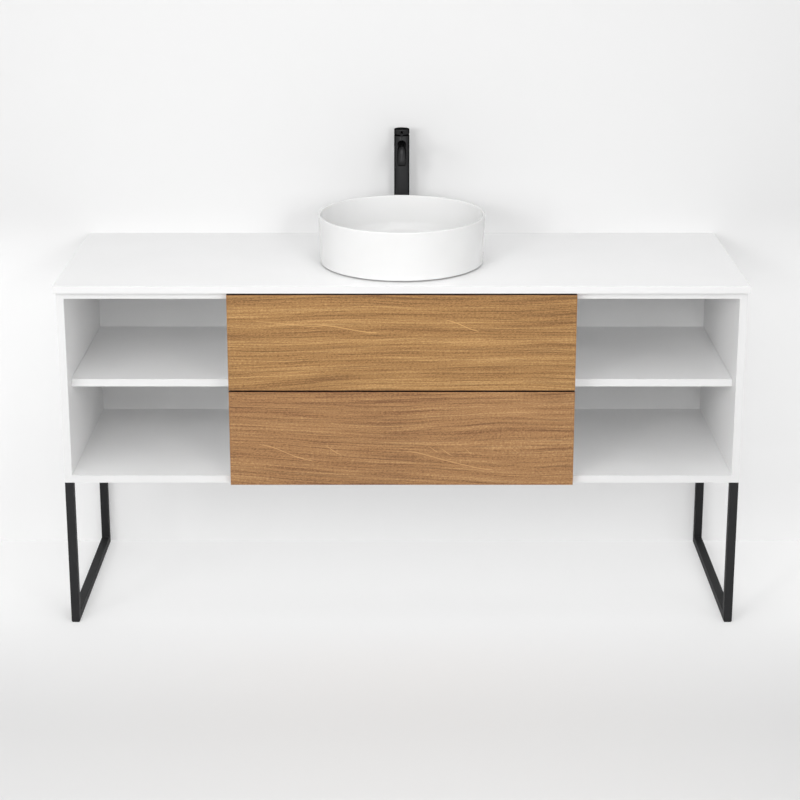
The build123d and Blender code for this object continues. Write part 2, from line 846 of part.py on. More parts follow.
# ---------------------------------------------------------------- mixer
with BuildPart() as mixer_body:
    shank_low = top_height - shank_length
    foot_high = top_height + mixer_foot_thick
    with BuildSketch(Plane.XZ.offset(-mixer_y)) as outline:
        with BuildLine():
            Polyline(
                (body_r, dome_height(body_r, dome_r)),
                (body_r, foot_high),
                (mixer_foot_r, foot_high),
                (mixer_foot_r, top_height),
                (shank_r, top_height),
                (shank_r, shank_low),
                (0, shank_low),
                (0, housing_low - mixing_height),
                (mixing_r, housing_low - mixing_height),
                (mixing_r, housing_low),
                (chamber_r, housing_low),
                (chamber_r, dome_height(chamber_r, dome_r)),
            )
            dome_middle = (body_r + chamber_r) / 2
            ThreePointArc(
                (chamber_r, dome_height(chamber_r, dome_r)),
                (dome_middle, dome_height(dome_middle, dome_r)),
                (body_r, dome_height(body_r, dome_r)),
            )
        make_face()
    revolve(axis=Axis((0, mixer_y, 0), (0, 0, 1)))
    peg((0, mixer_y, spout_z), (0, -1, 0), spigot_r, body_r, Mode.SUBTRACT)
    for way in (-1, 1):
        inlet = (way * inlet_spacing / 2, mixer_y, shank_low)
        peg(inlet, (0, 0, 1), inlet_r, inlet_depth, Mode.SUBTRACT)
        peg(inlet, (0, 0, 1), waterway_r, housing_low - mixing_height - shank_low, Mode.SUBTRACT)
finish(mixer_body, "mixer_body")


def along_spout(radius, mode=Mode.ADD):
    """Adds, or cuts, a round tube along the spout, from inside the body to the mouth."""
    with BuildLine(Plane.YZ) as path:
        Polyline(
            (mixer_y - chamber_r, spout_z),
            (mixer_y - spout_reach, spout_z),
            (mixer_y - spout_reach, mouth_z),
        )
        fillet(path.vertices().sort_by_distance((0, mixer_y - spout_reach, spout_z))[0], spout_bend)
    with BuildSketch(Plane(origin=(0, mixer_y - chamber_r, spout_z), z_dir=(0, -1, 0))) as section:
        Circle(radius)
    sweep(section.sketch, path=path.wire(), mode=mode)


with BuildPart() as mixer_spout:
    along_spout(spout_r)
    spout_bottom = spout_z - 2 * spout_r
    peg((0, mixer_y, spout_bottom), (0, 0, 1), body_r, 4 * spout_r, Mode.SUBTRACT)
    spigot_end = chamber_r + spigot_play
    peg((0, mixer_y - spigot_end, spout_z), (0, -1, 0), spigot_r - spigot_play, body_r - chamber_r)
    along_spout(spout_bore_r, Mode.SUBTRACT)
    socket = (0, mixer_y - spout_reach, mouth_z)
    peg(socket, (0, 0, 1), aerator_r + spigot_play, aerator_height, Mode.SUBTRACT)
finish(mixer_spout, "mixer_spout")

with BuildPart() as mixer_aerator:
    peg((0, mixer_y - spout_reach, mouth_z), (0, 0, 1), aerator_r, aerator_height)
    with Locations((0, mixer_y - spout_reach, mouth_z + aerator_height)):
        Hole(aerator_hole_r, depth=aerator_height)
        with PolarLocations(aerator_ring_r, 8):
            Hole(aerator_hole_r, depth=aerator_height)
finish(mixer_aerator, "mixer_aerator")

with BuildPart() as mixer_fixings:
    nut_high = top_low - mixer_washer_thick - spigot_play
    with BuildSketch(Plane.XY.offset(top_low - mixer_washer_thick)):
        with Locations((0, mixer_y)):
            Circle(mixer_nut_r)
            Circle(shank_r + nut_play, mode=Mode.SUBTRACT)
    extrude(amount=mixer_washer_thick)
    with BuildSketch(Plane.XY.offset(nut_high - mixer_nut_thick)):
        with Locations((0, mixer_y)):
            RegularPolygon(mixer_nut_r, 6)
            Circle(shank_r + nut_play, mode=Mode.SUBTRACT)
    extrude(amount=mixer_nut_thick)
finish(mixer_fixings, "mixer_fixings")

# ---------------------------------------------------------------- cartridge
housing_r = chamber_r - cartridge_play
carrier_r = housing_r - housing_wall - carrier_fit

with BuildPart() as cartridge_housing:
    turned(
        [
            (0.0, housing_low),
            (housing_r, housing_low),
            (housing_r, housing_high),
            (housing_r - housing_wall, housing_high),
            (housing_r - housing_wall, housing_low + housing_floor),
            (0.0, housing_low + housing_floor),
        ],
        mixer_y,
    )
finish(cartridge_housing, "cartridge_housing")

with BuildPart() as cartridge_ring:
    ring_middle = (ring_hole_r + housing_r) / 2
    with BuildSketch(Plane.XZ.offset(-mixer_y)):
        with BuildLine():
            Polyline(
                (housing_r, dome_height(housing_r, dome_r)),
                (housing_r, housing_high),
                (ring_hole_r, housing_high),
                (ring_hole_r, dome_height(ring_hole_r, dome_r)),
            )
            ThreePointArc(
                (ring_hole_r, dome_height(ring_hole_r, dome_r)),
                (ring_middle, dome_height(ring_middle, dome_r)),
                (housing_r, dome_height(housing_r, dome_r)),
            )
        make_face()
    revolve(axis=Axis((0, mixer_y, 0), (0, 0, 1)))
finish(cartridge_ring, "cartridge_ring")

with BuildPart() as cartridge_carrier:
    peg((0, mixer_y, carrier_low), (0, 0, 1), carrier_r, carrier_high - carrier_low)
    slot_half = eye_width / 2 + eye_play
    plank(
        (-slot_half, slot_half),
        (mixer_y - carrier_r, mixer_y + carrier_r),
        (pivot_z - slot_depth, carrier_high),
        mode=Mode.SUBTRACT,
    )
    pin_start = (-pivot_pin_length / 2, mixer_y, pivot_z)
    peg(pin_start, (1, 0, 0), pivot_pin_r, pivot_pin_length, Mode.SUBTRACT)
finish(cartridge_carrier, "cartridge_carrier")

with BuildPart() as lever_pivot_pin:
    peg(pin_start, (1, 0, 0), pivot_pin_r, pivot_pin_length)
finish(lever_pivot_pin, "lever_pivot_pin")

with BuildPart() as mixer_stem:
    stem_high = pivot_z + cavity_r + stem_grip
    peg((0, mixer_y, pivot_z), (0, 0, 1), stem_r, stem_high - pivot_z)
    peg((-eye_width / 2, mixer_y, pivot_z), (1, 0, 0), eye_r, eye_width)
    peg(pin_start, (1, 0, 0), pivot_pin_r + pivot_fit, pivot_pin_length, Mode.SUBTRACT)
finish(mixer_stem, "mixer_stem")

# ---------------------------------------------------------------- handle
lever_z = cap_low + lever_rise
lever_root = (0, mixer_y - body_r + lever_grip, lever_z)

with BuildPart() as mixer_cap:
    peg((0, mixer_y, cap_low), (0, 0, 1), body_r, cap_height)
    fillet(mixer_cap.edges().sort_by(Axis.Z)[-1], cap_round)
    with Locations((0, mixer_y, pivot_z)):
        Sphere(cavity_r, mode=Mode.SUBTRACT)
    bore(mixer_y, stem_r, pivot_z, stem_high)
    peg(lever_root, (0, -1, 0), lever_r, lever_grip + lever_length, Mode.SUBTRACT)
finish(mixer_cap, "mixer_cap")

with BuildPart() as mixer_lever:
    peg(lever_root, (0, -1, 0), lever_r, lever_grip + lever_length)
    fillet(mixer_lever.edges().sort_by(Axis.Y)[0], lever_round)
finish(mixer_lever, "mixer_lever")
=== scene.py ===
# %% [markdown]
# # A vessel sink on a long vanity
# The carcass, drawers, legs, plumbing and mixer come from the imported model at their real size,
# in metres. This file gives them their finishes, and models again the pieces whose looks need
# more than plain solids. The first step loads the frame and keeps its overall box, which places
# the camera and the wall; the finished model's size is printed at the end.

# %% Load the frame
import json
import math

import bmesh
import bpy
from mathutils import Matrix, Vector


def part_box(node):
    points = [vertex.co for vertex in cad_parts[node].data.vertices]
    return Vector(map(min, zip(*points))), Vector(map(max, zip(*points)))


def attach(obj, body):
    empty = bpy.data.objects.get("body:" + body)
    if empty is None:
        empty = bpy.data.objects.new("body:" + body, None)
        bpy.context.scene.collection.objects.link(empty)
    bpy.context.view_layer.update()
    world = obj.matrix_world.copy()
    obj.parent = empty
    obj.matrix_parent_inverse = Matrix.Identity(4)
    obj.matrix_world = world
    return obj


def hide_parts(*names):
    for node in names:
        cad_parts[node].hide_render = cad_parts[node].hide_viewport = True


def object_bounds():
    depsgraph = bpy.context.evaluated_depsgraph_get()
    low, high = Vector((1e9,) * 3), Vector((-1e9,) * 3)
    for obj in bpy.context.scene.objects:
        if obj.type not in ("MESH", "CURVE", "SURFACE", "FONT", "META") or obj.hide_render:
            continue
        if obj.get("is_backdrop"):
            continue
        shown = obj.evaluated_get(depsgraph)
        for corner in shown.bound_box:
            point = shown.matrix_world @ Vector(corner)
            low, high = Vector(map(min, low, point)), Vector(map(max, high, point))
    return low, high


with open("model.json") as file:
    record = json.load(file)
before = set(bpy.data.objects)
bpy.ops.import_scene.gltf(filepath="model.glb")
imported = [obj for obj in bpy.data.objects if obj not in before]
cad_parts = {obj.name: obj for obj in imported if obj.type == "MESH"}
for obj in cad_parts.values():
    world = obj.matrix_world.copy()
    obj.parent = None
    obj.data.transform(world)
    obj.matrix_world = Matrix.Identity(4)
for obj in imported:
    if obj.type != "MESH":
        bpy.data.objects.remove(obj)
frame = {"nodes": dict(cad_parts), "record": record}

nodes = frame["nodes"]
cad_low, cad_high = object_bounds()

# %% [markdown]
# ## Camera
# The vanity is looked at from the front, from about head height and some four metres away.
# A long lens keeps its lines calm. The picture plane is moved a little (shift), as with a shift
# lens, so that the uprights lean in only slightly.

# %% Camera
camera_distance = 4.018  # lens to the countertop's front edge
camera_height = 1.9607
camera_pitch = math.radians(14.536)
right_angle = math.radians(90)

camera_data = bpy.data.cameras.new("camera")
camera_data.lens = 82.009
camera_data.shift_x = -0.0022
camera_data.shift_y = -0.18
camera = bpy.data.objects.new("camera", camera_data)
camera.location = (0, cad_low.y - camera_distance, camera_height)
camera.rotation_euler = (right_angle - camera_pitch, 0, 0)
bpy.context.collection.objects.link(camera)
bpy.context.scene.camera = camera
print("camera at", camera.location)

# %% [markdown]
# ## Tools for the materials
# Every finish is a small network of nodes, and a few short functions keep the networks
# readable. A node or an output knows the network it belongs to, which Blender calls its
# id_data, so a new node is always added near another one. Its inputs take numbers or the
# outputs of other nodes. The last function puts a finished material on pieces of the frame.

# %% Tools for the materials
def start_material(name):
    """A new material and its shader node."""
    material = bpy.data.materials.new(name)
    material.use_nodes = True
    return material, material.node_tree.nodes["Principled BSDF"]


def add(near, kind, inputs=None, **settings):
    """Adds a node to the network of near; an input takes a value or another node's output."""
    tree = near.id_data
    node = tree.nodes.new("ShaderNode" + kind)
    for name, value in settings.items():
        setattr(node, name, value)
    for name, value in (inputs or {}).items():
        if isinstance(value, bpy.types.NodeSocket):
            tree.links.new(value, node.inputs[name])
        else:
            node.inputs[name].default_value = value
    return node


def link(output, node, name):
    """Joins an output to the named input of a node."""
    output.id_data.links.new(output, node.inputs[name])


def dress(material, *names):
    """Gives these nodes of the frame the material."""
    for name in names:
        for slot in nodes[name].material_slots:
            slot.material = material
    print(material.name, "on", len(names), "nodes")


# %% [markdown]
# ## Patterns shared by the finishes
# Wood grain, the skin of a powder coat and the fine tooth of a laminate are all noise of some
# size and stretch. Noise reads the Object coordinates, which are the model's own metres, so
# 1000 spots a metre are spots of about a millimetre. The first helpers move the place on a
# piece and make noise there, the next ones reckon with its values, and the last ones mix
# colours and turn a pattern into small heights.

# %% Patterns: places and noise
def own_place(shader):
    """The piece's own coordinates."""
    return add(shader, "TexCoord").outputs["Object"]


def coordinate(place, axis):
    """One coordinate of a place."""
    return add(place, "SeparateXYZ", {0: place}).outputs[axis]


def moved(place, way):
    """A place moved by a vector, or by one value along all three axes."""
    return add(place, "VectorMath", {0: place, 1: way}, operation="ADD").outputs["Vector"]


def raised(place, height):
    """A place moved up by a value."""
    return moved(place, add(place, "CombineXYZ", {"Z": height}).outputs["Vector"])


def noise(place, spots, detail, roughness=0.5):
    """Noise around 0.5, with this many spots a metre, or as many along x, y and z."""
    spots = spots if isinstance(spots, tuple) else (spots, spots, spots)
    spread = add(place, "VectorMath", {0: place, 1: spots}, operation="MULTIPLY").outputs["Vector"]
    values = {"Vector": spread, "Scale": 1.0, "Detail": detail, "Roughness": roughness}
    return add(place, "TexNoise", values).outputs["Fac"]


# %% Patterns: values
def step(value, low, high, first=0.0, last=1.0):
    """Goes smoothly from first to last while the value goes from low to high."""
    ends = {"Value": value, "From Min": low, "From Max": high, "To Min": first, "To Max": last}
    return add(value, "MapRange", ends, interpolation_type="SMOOTHSTEP").outputs["Result"]


def calc(operation, first, second=0.0):
    """Arithmetic on an output and a value or output."""
    return add(first, "Math", {0: first, 1: second}, operation=operation).outputs["Value"]


def plus(first, second):
    """The sum of two values."""
    return calc("ADD", first, second)


def minus(first, second):
    """The difference of two values."""
    return calc("SUBTRACT", first, second)


def times(first, second):
    """The product of two values."""
    return calc("MULTIPLY", first, second)


def apart(value, place):
    """How far a value is from a place, on either side."""
    return calc("ABSOLUTE", minus(value, place))


def within(value, low, high, rise, fall):
    """1 between low and high, reached over rise and left over fall, and 0 outside."""
    return times(step(value, low, low + rise), step(value, high - fall, high, 1.0, 0.0))


# %% Patterns: colours and heights
def shade(colour, share):
    """A colour that is this share as light."""
    return [part * share for part in colour]


def blend(factor, first, second):
    """A mix of two colours; a colour is an output or three numbers."""
    colours = [c if isinstance(c, bpy.types.NodeSocket) else (*c, 1) for c in (first, second)]
    values = {0: factor, 6: colours[0], 7: colours[1]}  # 6 and 7 are its two colour inputs
    return add(factor, "Mix", values, data_type="RGBA").outputs[2]


def relief(shader, height, depth):
    """Gives the surface small heights, depth metres for a height of 1."""
    bump = add(shader, "Bump", {"Height": height, "Distance": depth, "Strength": 1.0})
    link(bump.outputs["Normal"], shader, "Normal")


# %% [markdown]
# ## Plain finishes
# Laminate, powder coat, moulded plastic, plated steel and rubber differ in colour, in gloss and
# in the size of the marks on their skin. One function makes them all: a colour that varies a
# little from place to place, a roughness that varies with it, and a fine relief. Wide soft spots
# stand for the unevenness of the batch, and small ones for the tooth of the surface.

# %% Plain finishes
def plain_finish(name, colour, gloss, tooth, depth, vary=0.03, metal=0.0, mirror=0.5, edge=1.0,
                 painted_shadow_line=None):
    """A finish with this colour and roughness; tooth is the number of marks a metre.

    A low edge keeps a metal dark at grazing angles; between the two heights of the shadow line
    the colour is painted nearly black, as painted shade in a narrow groove."""
    material, shader = start_material(name)
    shader.inputs["Metallic"].default_value = metal
    shader.inputs["Specular IOR Level"].default_value = mirror
    shader.inputs["Specular Tint"].default_value = (edge, edge, edge, 1)
    place = own_place(shader)
    wide = noise(place, 9, 2.0)
    fine = noise(place, tooth, 2.0, 0.6)
    tone = step(plus(times(wide, 0.6), times(fine, 0.4)), 0.3, 0.7)
    skin = blend(tone, shade(colour, 1 - vary), shade(colour, 1 + vary))
    # Between the two heights of the shadow line the colour is painted nearly black: painted shade
    # in a narrow groove.
    if painted_shadow_line:
        inside = within(coordinate(place, "Z"), *painted_shadow_line, 0.0001, 0.0001)
        skin = blend(inside, skin, shade(colour, 0.06))
    link(skin, shader, "Base Color")
    link(step(fine, 0.25, 0.75, gloss * 0.88, gloss * 1.12), shader, "Roughness")
    relief(shader, fine, depth)
    return material


# %% Plain finishes of the vanity
zinc = plain_finish("zinc_plating", (0.60, 0.61, 0.62), 0.30, 700, 0.00002, 0.08, metal=1.0)
brass = plain_finish("turned_brass", (0.72, 0.50, 0.22), 0.30, 900, 0.00002, 0.05, metal=1.0)
powder_coat = plain_finish(
    "black_powder_coat", (0.012, 0.012, 0.013), 0.52, 1500, 0.00006, 0.15, mirror=0.38)
black_metal = {
    "colour": (0.040, 0.040, 0.041), "gloss": 0.34, "tooth": 2600, "depth": 0.00002,
    "vary": 0.10, "metal": 1.0, "edge": 0.10,
}
satin_black = plain_finish("matt_black_coating", **black_metal)
# Near-black for the aerator's flange under the spout's lip: painted shade.
flange_shade_black = plain_finish(
    "aerator_flange_painted_shade", (0.004, 0.004, 0.004), 0.60, 1800, 0.00004, 0.10, mirror=0.1)
rubber = plain_finish("black_rubber", (0.018, 0.018, 0.018), 0.75, 1800, 0.00008, 0.15)
grey_plastic = plain_finish("grey_moulded_plastic", (0.30, 0.31, 0.32), 0.45, 1600, 0.00003, 0.05)
white_plastic = plain_finish("white_moulded_plastic", (0.78, 0.78, 0.77), 0.28, 700, 0.00002, 0.02)
cartridge_plastic = plain_finish("cartridge_plastic", (0.62, 0.62, 0.60), 0.40, 1200, 0.00002, 0.04)
sealant = plain_finish("clear_sealant", (0.62, 0.62, 0.60), 0.25, 500, 0.00010, 0.05)
drawer_board = plain_finish("drawer_board", (0.56, 0.56, 0.55), 0.50, 1300, 0.00004, 0.02)
print("plain finishes:", len(bpy.data.materials))

# %% [markdown]
# ## White laminate
# The carcass boards and the countertop are white laminate on chipboard. Its sheets have a very
# fine pearl that spreads the light, and a band is glued to each front edge, which leaves a hair
# line about a millimetre behind the edge. The line is drawn where y is at the front of the
# boards, so it is on every board at once. The band is painted darker than the sheet: painted
# shade that holds down the front edges, which the front lamps light most.

# %% White laminate
def laminate(name, white, gloss, joint_y):
    """White laminate whose edge band ends at joint_y."""
    material, shader = start_material(name)
    place = own_place(shader)
    full = (white, white, white)
    depth = coordinate(place, "Y")
    cloud = step(noise(place, 7, 2.0), 0.3, 0.7)
    sheet = blend(cloud, shade(full, 0.992), shade(full, 1.004))
    # The edge band is painted darker than the sheet: painted shade on the front edges, which the
    # front lamps light most.
    edge_band_shade = step(depth, joint_y - 0.0002, joint_y, 1.0, 0.0)
    sheet = blend(edge_band_shade, sheet, shade(full, 0.85))
    joint = step(apart(depth, joint_y), 0.00012, 0.00028, 1.0, 0.0)
    link(blend(joint, sheet, shade(full, 0.62)), shader, "Base Color")
    pearl = noise(place, 1100, 2.0, 0.6)
    link(step(pearl, 0.2, 0.8, gloss * 0.9, gloss * 1.1), shader, "Roughness")
    relief(shader, pearl, 0.000025)
    return material


band_thick, top_band_thick = 0.001, 0.0016
board_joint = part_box("left_side")[0].y + band_thick
white_board = laminate("white_laminate", 0.87, 0.42, board_joint)
shelf_white = laminate("white_shelf", 0.87, 0.42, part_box("shelves")[0].y + band_thick)
white_top = laminate("white_countertop", 0.88, 0.36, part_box("countertop")[0].y + top_band_thick)
print("edge bands end at y", board_joint, "on the carcass")

# %% [markdown]
# ## Oak veneer
# The drawer fronts are veneered with oak, its grain running from end to end. Grain is a
# heightfield cut by a plane, and the pattern is built the same way. The height across the board
# is bent by slow noise, so the lines wander; saw-tooth rings along the bent height give the
# growth rings, each dark on one side and fading on the other; noise that is stretched along
# the board adds wide bands and fine streaks; short dark dashes are the pores; and a few thin
# pale lines that fall away from the grain are the rays of the wood, each on its own curve. Each
# front has its own place in the pattern and its own slope, as two sheets of veneer have.

# %% Oak veneer
# The second colour is near-black: painted shade for the gaps between the two fronts.
arris_brown, gap_shade_brown = (0.34, 0.13, 0.05), (0.018, 0.009, 0.005)
arris_width = 0.0007


def oak_veneer(name, node, start, slope, dark, middle, light, rays):
    """Veneer for one front: start shifts its pattern, slope tilts the grain of its lower half.

    Each ray is its first and last place along the front, its heights there, and its strength."""
    material, shader = start_material(name)
    low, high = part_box(node)
    place = moved(own_place(shader), -low)
    along, across = coordinate(place, "X"), coordinate(place, "Z")
    tilt = times(along, step(across, 0.0, 0.16, slope, 0.0))
    sheet = moved(place, start)
    slow = step(noise(sheet, (1.4, 1.0, 4.0), 1.5), 0.2, 0.8, -0.015, 0.015)
    quick = step(noise(sheet, (5.0, 1.0, 16.0), 2.0), 0.2, 0.8, -0.0022, 0.0022)
    grain = raised(sheet, plus(tilt, plus(slow, quick)))

    bands = noise(grain, (0.9, 1.0, 34.0), 2.0)
    streaks = noise(grain, (2.2, 1.0, 150.0), 4.0, 0.62)
    threads = noise(grain, (5.0, 1.0, 340.0), 2.0, 0.6)
    hairs = noise(grain, (1.3, 1.0, 210.0), 3.0, 0.55)
    pores = noise(grain, (95.0, 1.0, 1500.0), 2.0, 0.6)
    crumbled = moved(grain, times(noise(grain, (70.0, 1.0, 90.0), 1.0), 0.008))
    grit = noise(crumbled, (170.0, 1.0, 340.0), 2.0, 0.75)
    rings = calc("FRACT", plus(times(coordinate(grain, "Z"), 62.0), times(bands, 5.0)))

    tone = times(minus(bands, 0.5), 1.1)
    for pattern, weight in ((streaks, 0.80), (threads, 1.6), (grit, 1.6)):
        tone = plus(tone, times(minus(pattern, 0.5), weight))
    ring = within(rings, 0.0, 1.0, 0.85, 0.1)
    tone = plus(plus(tone, times(ring, -0.16)), 0.56)
    wood = blend(step(tone, 0.05, 0.5), dark, middle)
    wood = blend(step(tone, 0.5, 0.98), wood, light)
    line = step(apart(hairs, 0.5), 0.005, 0.020, 0.50, 0.0)
    wood = blend(line, wood, shade(dark, 0.55))
    dash = step(pores, 0.60, 0.72, 0.0, 0.45)
    wood = blend(dash, wood, shade(dark, 0.6))

    leaving = raised(grain, times(along, 0.30))
    waver = step(noise(leaving, (9.0, 1.0, 9.0), 1.0), 0.2, 0.8, -0.002, 0.002)
    level = plus(across, waver)
    for first, last, high_end, low_end, weight in rays:
        off = apart(level, step(along, first, last, high_end, low_end))
        inside = within(along, first, last, 0.02, 0.012)
        ray = times(step(off, 0.0005, 0.0015, weight + 0.15, 0.0), inside)
        wood = blend(ray, wood, shade(light, 1.25))

    half_long, half_tall = (high.x - low.x) / 2, (high.z - low.z) / 2
    ends, edges = apart(along, half_long), apart(across, half_tall)
    rim = calc("MAXIMUM", minus(ends, half_long - arris_width),
               minus(edges, half_tall - arris_width))
    wood = blend(step(rim, 0.0, 0.0002, 0.0, 0.6), wood, arris_brown)
    # The top and bottom edge faces, behind the front face, are painted near-black: painted shade in
    # the gaps between the fronts.
    on_edge = step(edges, half_tall - 0.0004, half_tall - 0.0002)
    behind = step(coordinate(place, "Y"), 0.0006, 0.0009)
    wood = blend(times(behind, on_edge), wood, gap_shade_brown)

    link(wood, shader, "Base Color")
    link(step(streaks, 0.3, 0.7, 0.52, 0.42), shader, "Roughness")
    relief(shader, minus(times(threads, 0.5), dash), 0.00006)
    return material


# %% Veneer of the two fronts
upper_oak = oak_veneer(
    "oak_upper_front", "upper_drawer_front", (3.1, 0.0, 7.4), -0.01,
    (0.190, 0.088, 0.027), (0.352, 0.185, 0.062), (0.515, 0.303, 0.117),
    ((0.060, 0.225, 0.168, 0.154, 0.35), (0.200, 0.350, 0.158, 0.141, 0.55),
     (0.495, 0.585, 0.173, 0.145, 0.55)))
lower_oak = oak_veneer(
    "oak_lower_front", "lower_drawer_front", (12.7, 0.0, 2.2), 0.045,
    (0.192, 0.085, 0.032), (0.344, 0.177, 0.068), (0.492, 0.285, 0.122),
    ((0.065, 0.200, 0.101, 0.061, 0.50), (0.215, 0.262, 0.100, 0.077, 0.50),
     (0.405, 0.620, 0.083, 0.038, 0.45), (0.458, 0.492, 0.099, 0.082, 0.45),
     (0.486, 0.526, 0.094, 0.072, 0.50), (0.538, 0.572, 0.097, 0.075, 0.45),
     (0.645, 0.680, 0.099, 0.082, 0.30)))
print("oak:", [len(oak.node_tree.nodes) for oak in (upper_oak, lower_oak)], "nodes")

# %% [markdown]
# ## Glazed ceramic
# The basin is fired clay under a white glaze. The glaze is hard and clear: it mirrors the lamps
# in small bright spots, and its surface is very slightly wavy, so the spots are not quite round.
# The foot ring that the basin was fired on has no glaze, so below its height the finish turns
# rough and a little warmer.

# %% Glazed ceramic
def glazed_ceramic(name, bare_height):
    """White glaze, left off below bare_height."""
    material, shader = start_material(name)
    place = own_place(shader)
    bare = step(coordinate(place, "Z"), bare_height, bare_height + 0.0004, 1.0, 0.0)
    cloud = noise(place, 11, 2.0)
    grit = noise(place, 1500, 2.0, 0.7)
    glaze = blend(step(cloud, 0.3, 0.7), (0.750, 0.750, 0.746), (0.765, 0.765, 0.763))
    clay = blend(step(grit, 0.3, 0.7), (0.62, 0.59, 0.54), (0.72, 0.69, 0.64))
    link(blend(bare, glaze, clay), shader, "Base Color")
    shine = step(cloud, 0.3, 0.7, 0.07, 0.11)
    link(calc("MAXIMUM", shine, times(bare, 0.75)), shader, "Roughness")
    ripple = noise(place, 26, 1.0)
    relief(shader, plus(ripple, times(times(grit, bare), 0.2)), 0.00012)
    shader.inputs["Coat Weight"].default_value = 0.3
    shader.inputs["Coat Roughness"].default_value = 0.03
    return material


basin_low, basin_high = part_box("basin")
ceramic = glazed_ceramic("white_ceramic", basin_low.z + 0.0006)
print("basin from", basin_low.z, "to", basin_high.z)

# %% [markdown]
# ## Beech and the rest
# The dowels are plain beech: pale, with small brown flecks along the grain. Then every node of
# the frame gets the finish of its material slot. Nodes that are modelled again below keep
# their name here too, so that none is forgotten.

# %% Beech, and a finish for every node
beech, shader = start_material("beech_dowels")
place = own_place(shader)
fibres = noise(place, (40.0, 700.0, 700.0), 3.0, 0.6)
flecks = noise(place, (260.0, 1500.0, 1500.0), 2.0, 0.6)
pale = blend(step(fibres, 0.3, 0.7), (0.50, 0.34, 0.20), (0.62, 0.45, 0.28))
link(blend(step(flecks, 0.60, 0.70, 0.0, 0.5), pale, (0.28, 0.15, 0.07)), shader, "Base Color")
shader.inputs["Roughness"].default_value = 0.6
relief(shader, fibres, 0.00004)

finishes = {
    "white_countertop": white_top, "white_board": white_board, "beech_dowel": beech,
    "zinc_steel": zinc, "black_steel": powder_coat, "black_rubber": rubber,
    "grey_plastic": grey_plastic, "white_ceramic": ceramic, "clear_sealant": sealant,
    "matt_black_metal": satin_black, "white_plastic": white_plastic, "brass": brass,
    "cartridge_plastic": cartridge_plastic, "oak_front": upper_oak, "drawer_board": drawer_board,
}
slots = {entry["node"]: entry["material_slot"] for entry in frame["record"]["subparts"]}
for slot in finishes:
    dress(finishes[slot], *[node for node in slots if slots[node] == slot])
dress(lower_oak, "lower_drawer_front")
dress(shelf_white, "shelves")

# %% [markdown]
# ## Floor and wall
# The vanity stands in front of a pale wall on a pale floor. Both are only scenery: seen from
# behind or below they are clear, so that the back and the underside stay visible. The wall
# neither lights nor shades the object.
# A floor or wall that is lit only by soft lamps looks grey in a picture. A little light that
# only the camera sees is added to both, so they look as pale as in a studio, and nothing more
# falls on the vanity.

# %% Floor and wall
def stage_material(name, grey, axis, ends, lifts, far_lift=0.0):
    """A matt finish for the scenery, with a little light that only the camera sees.

    The light goes from the first lift to the second as the place runs between the ends, and
    far_lift joins it far from the object, where no lamp reaches. From behind it is clear."""
    material, shader = start_material(name)
    shader.inputs["Base Color"].default_value = (grey, grey, grey, 1)
    shader.inputs["Roughness"].default_value = 0.9
    shader.inputs["Specular IOR Level"].default_value = 0.0
    shader.inputs["Emission Color"].default_value = (1, 1, 1, 1)
    seen = add(shader, "LightPath").outputs["Is Camera Ray"]
    place = own_place(shader)
    away = add(place, "VectorMath", {0: place}, operation="LENGTH").outputs["Value"]
    far = step(away, 1.7, 5.0, 0.0, far_lift)
    lift = plus(step(coordinate(place, axis), *ends, *lifts), far)
    link(times(seen, lift), shader, "Emission Strength")
    back = add(shader, "NewGeometry").outputs["Backfacing"]
    clear = add(shader, "BsdfTransparent").outputs["BSDF"]
    mix = add(shader, "MixShader", {0: back, 1: shader.outputs["BSDF"], 2: clear})
    link(mix.outputs["Shader"], material.node_tree.nodes["Material Output"], "Surface")
    return material


def stage_plane(name, corners, material):
    """A flat piece of scenery between four corners."""
    mesh = bpy.data.meshes.new(name)
    mesh.from_pydata(corners, [], [(0, 1, 2, 3)])
    plane = bpy.data.objects.new(name, mesh)
    plane.data.materials.append(material)
    bpy.context.collection.objects.link(plane)
    plane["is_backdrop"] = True
    return plane


# %% Place of the floor and the wall
reach = 9.0
wall_y = cad_high.y + 0.0005
pale_floor = stage_material("pale_floor", 0.69, "Y", (-0.80, 0.05), (0.0, 0.34), far_lift=0.37)
pale_wall = stage_material("pale_wall", 0.70, "Z", (0.66, 0.93), (0.29, 0.07))
around = ((-reach, -reach), (reach, -reach), (reach, reach), (-reach, reach))
stage_plane("floor", [(x, y, 0) for x, y in around], pale_floor)
wall = stage_plane("wall", [(x, wall_y, max(z, 0)) for x, z in around], pale_wall)
wall.visible_shadow = False
wall.visible_diffuse = False
print("wall at y", wall_y)

# %% [markdown]
# ## Lights
# Most of the light comes from soft boxes in front of the vanity, some of them low and near, so
# that it reaches into the open bays. One large box hangs overhead for the countertop, and one
# stands at each side for the flanks of the basin. Two small low lamps draw the faint shadows of
# the mixer on the wall. Gloss would mirror every box as a bright patch, so the near ones light
# without being mirrored, and two sparks stand where the bowl mirrors them as two small points.
# The world is soft and pale, and paler still where it is seen, mirrored or looked through.

# %% Lights
def softbox(name, place, size, power, mirrored=True):
    """A square lamp at this place that looks at the middle of the vanity."""
    lamp = bpy.data.lights.new(name, "AREA")
    lamp.size = size
    lamp.energy = power
    box = bpy.data.objects.new(name, lamp)
    box.location = place
    box.rotation_euler = (Vector(place) - Vector((0, 0, 0.65))).to_track_quat("Z", "Y").to_euler()
    box.visible_glossy = mirrored
    bpy.context.collection.objects.link(box)


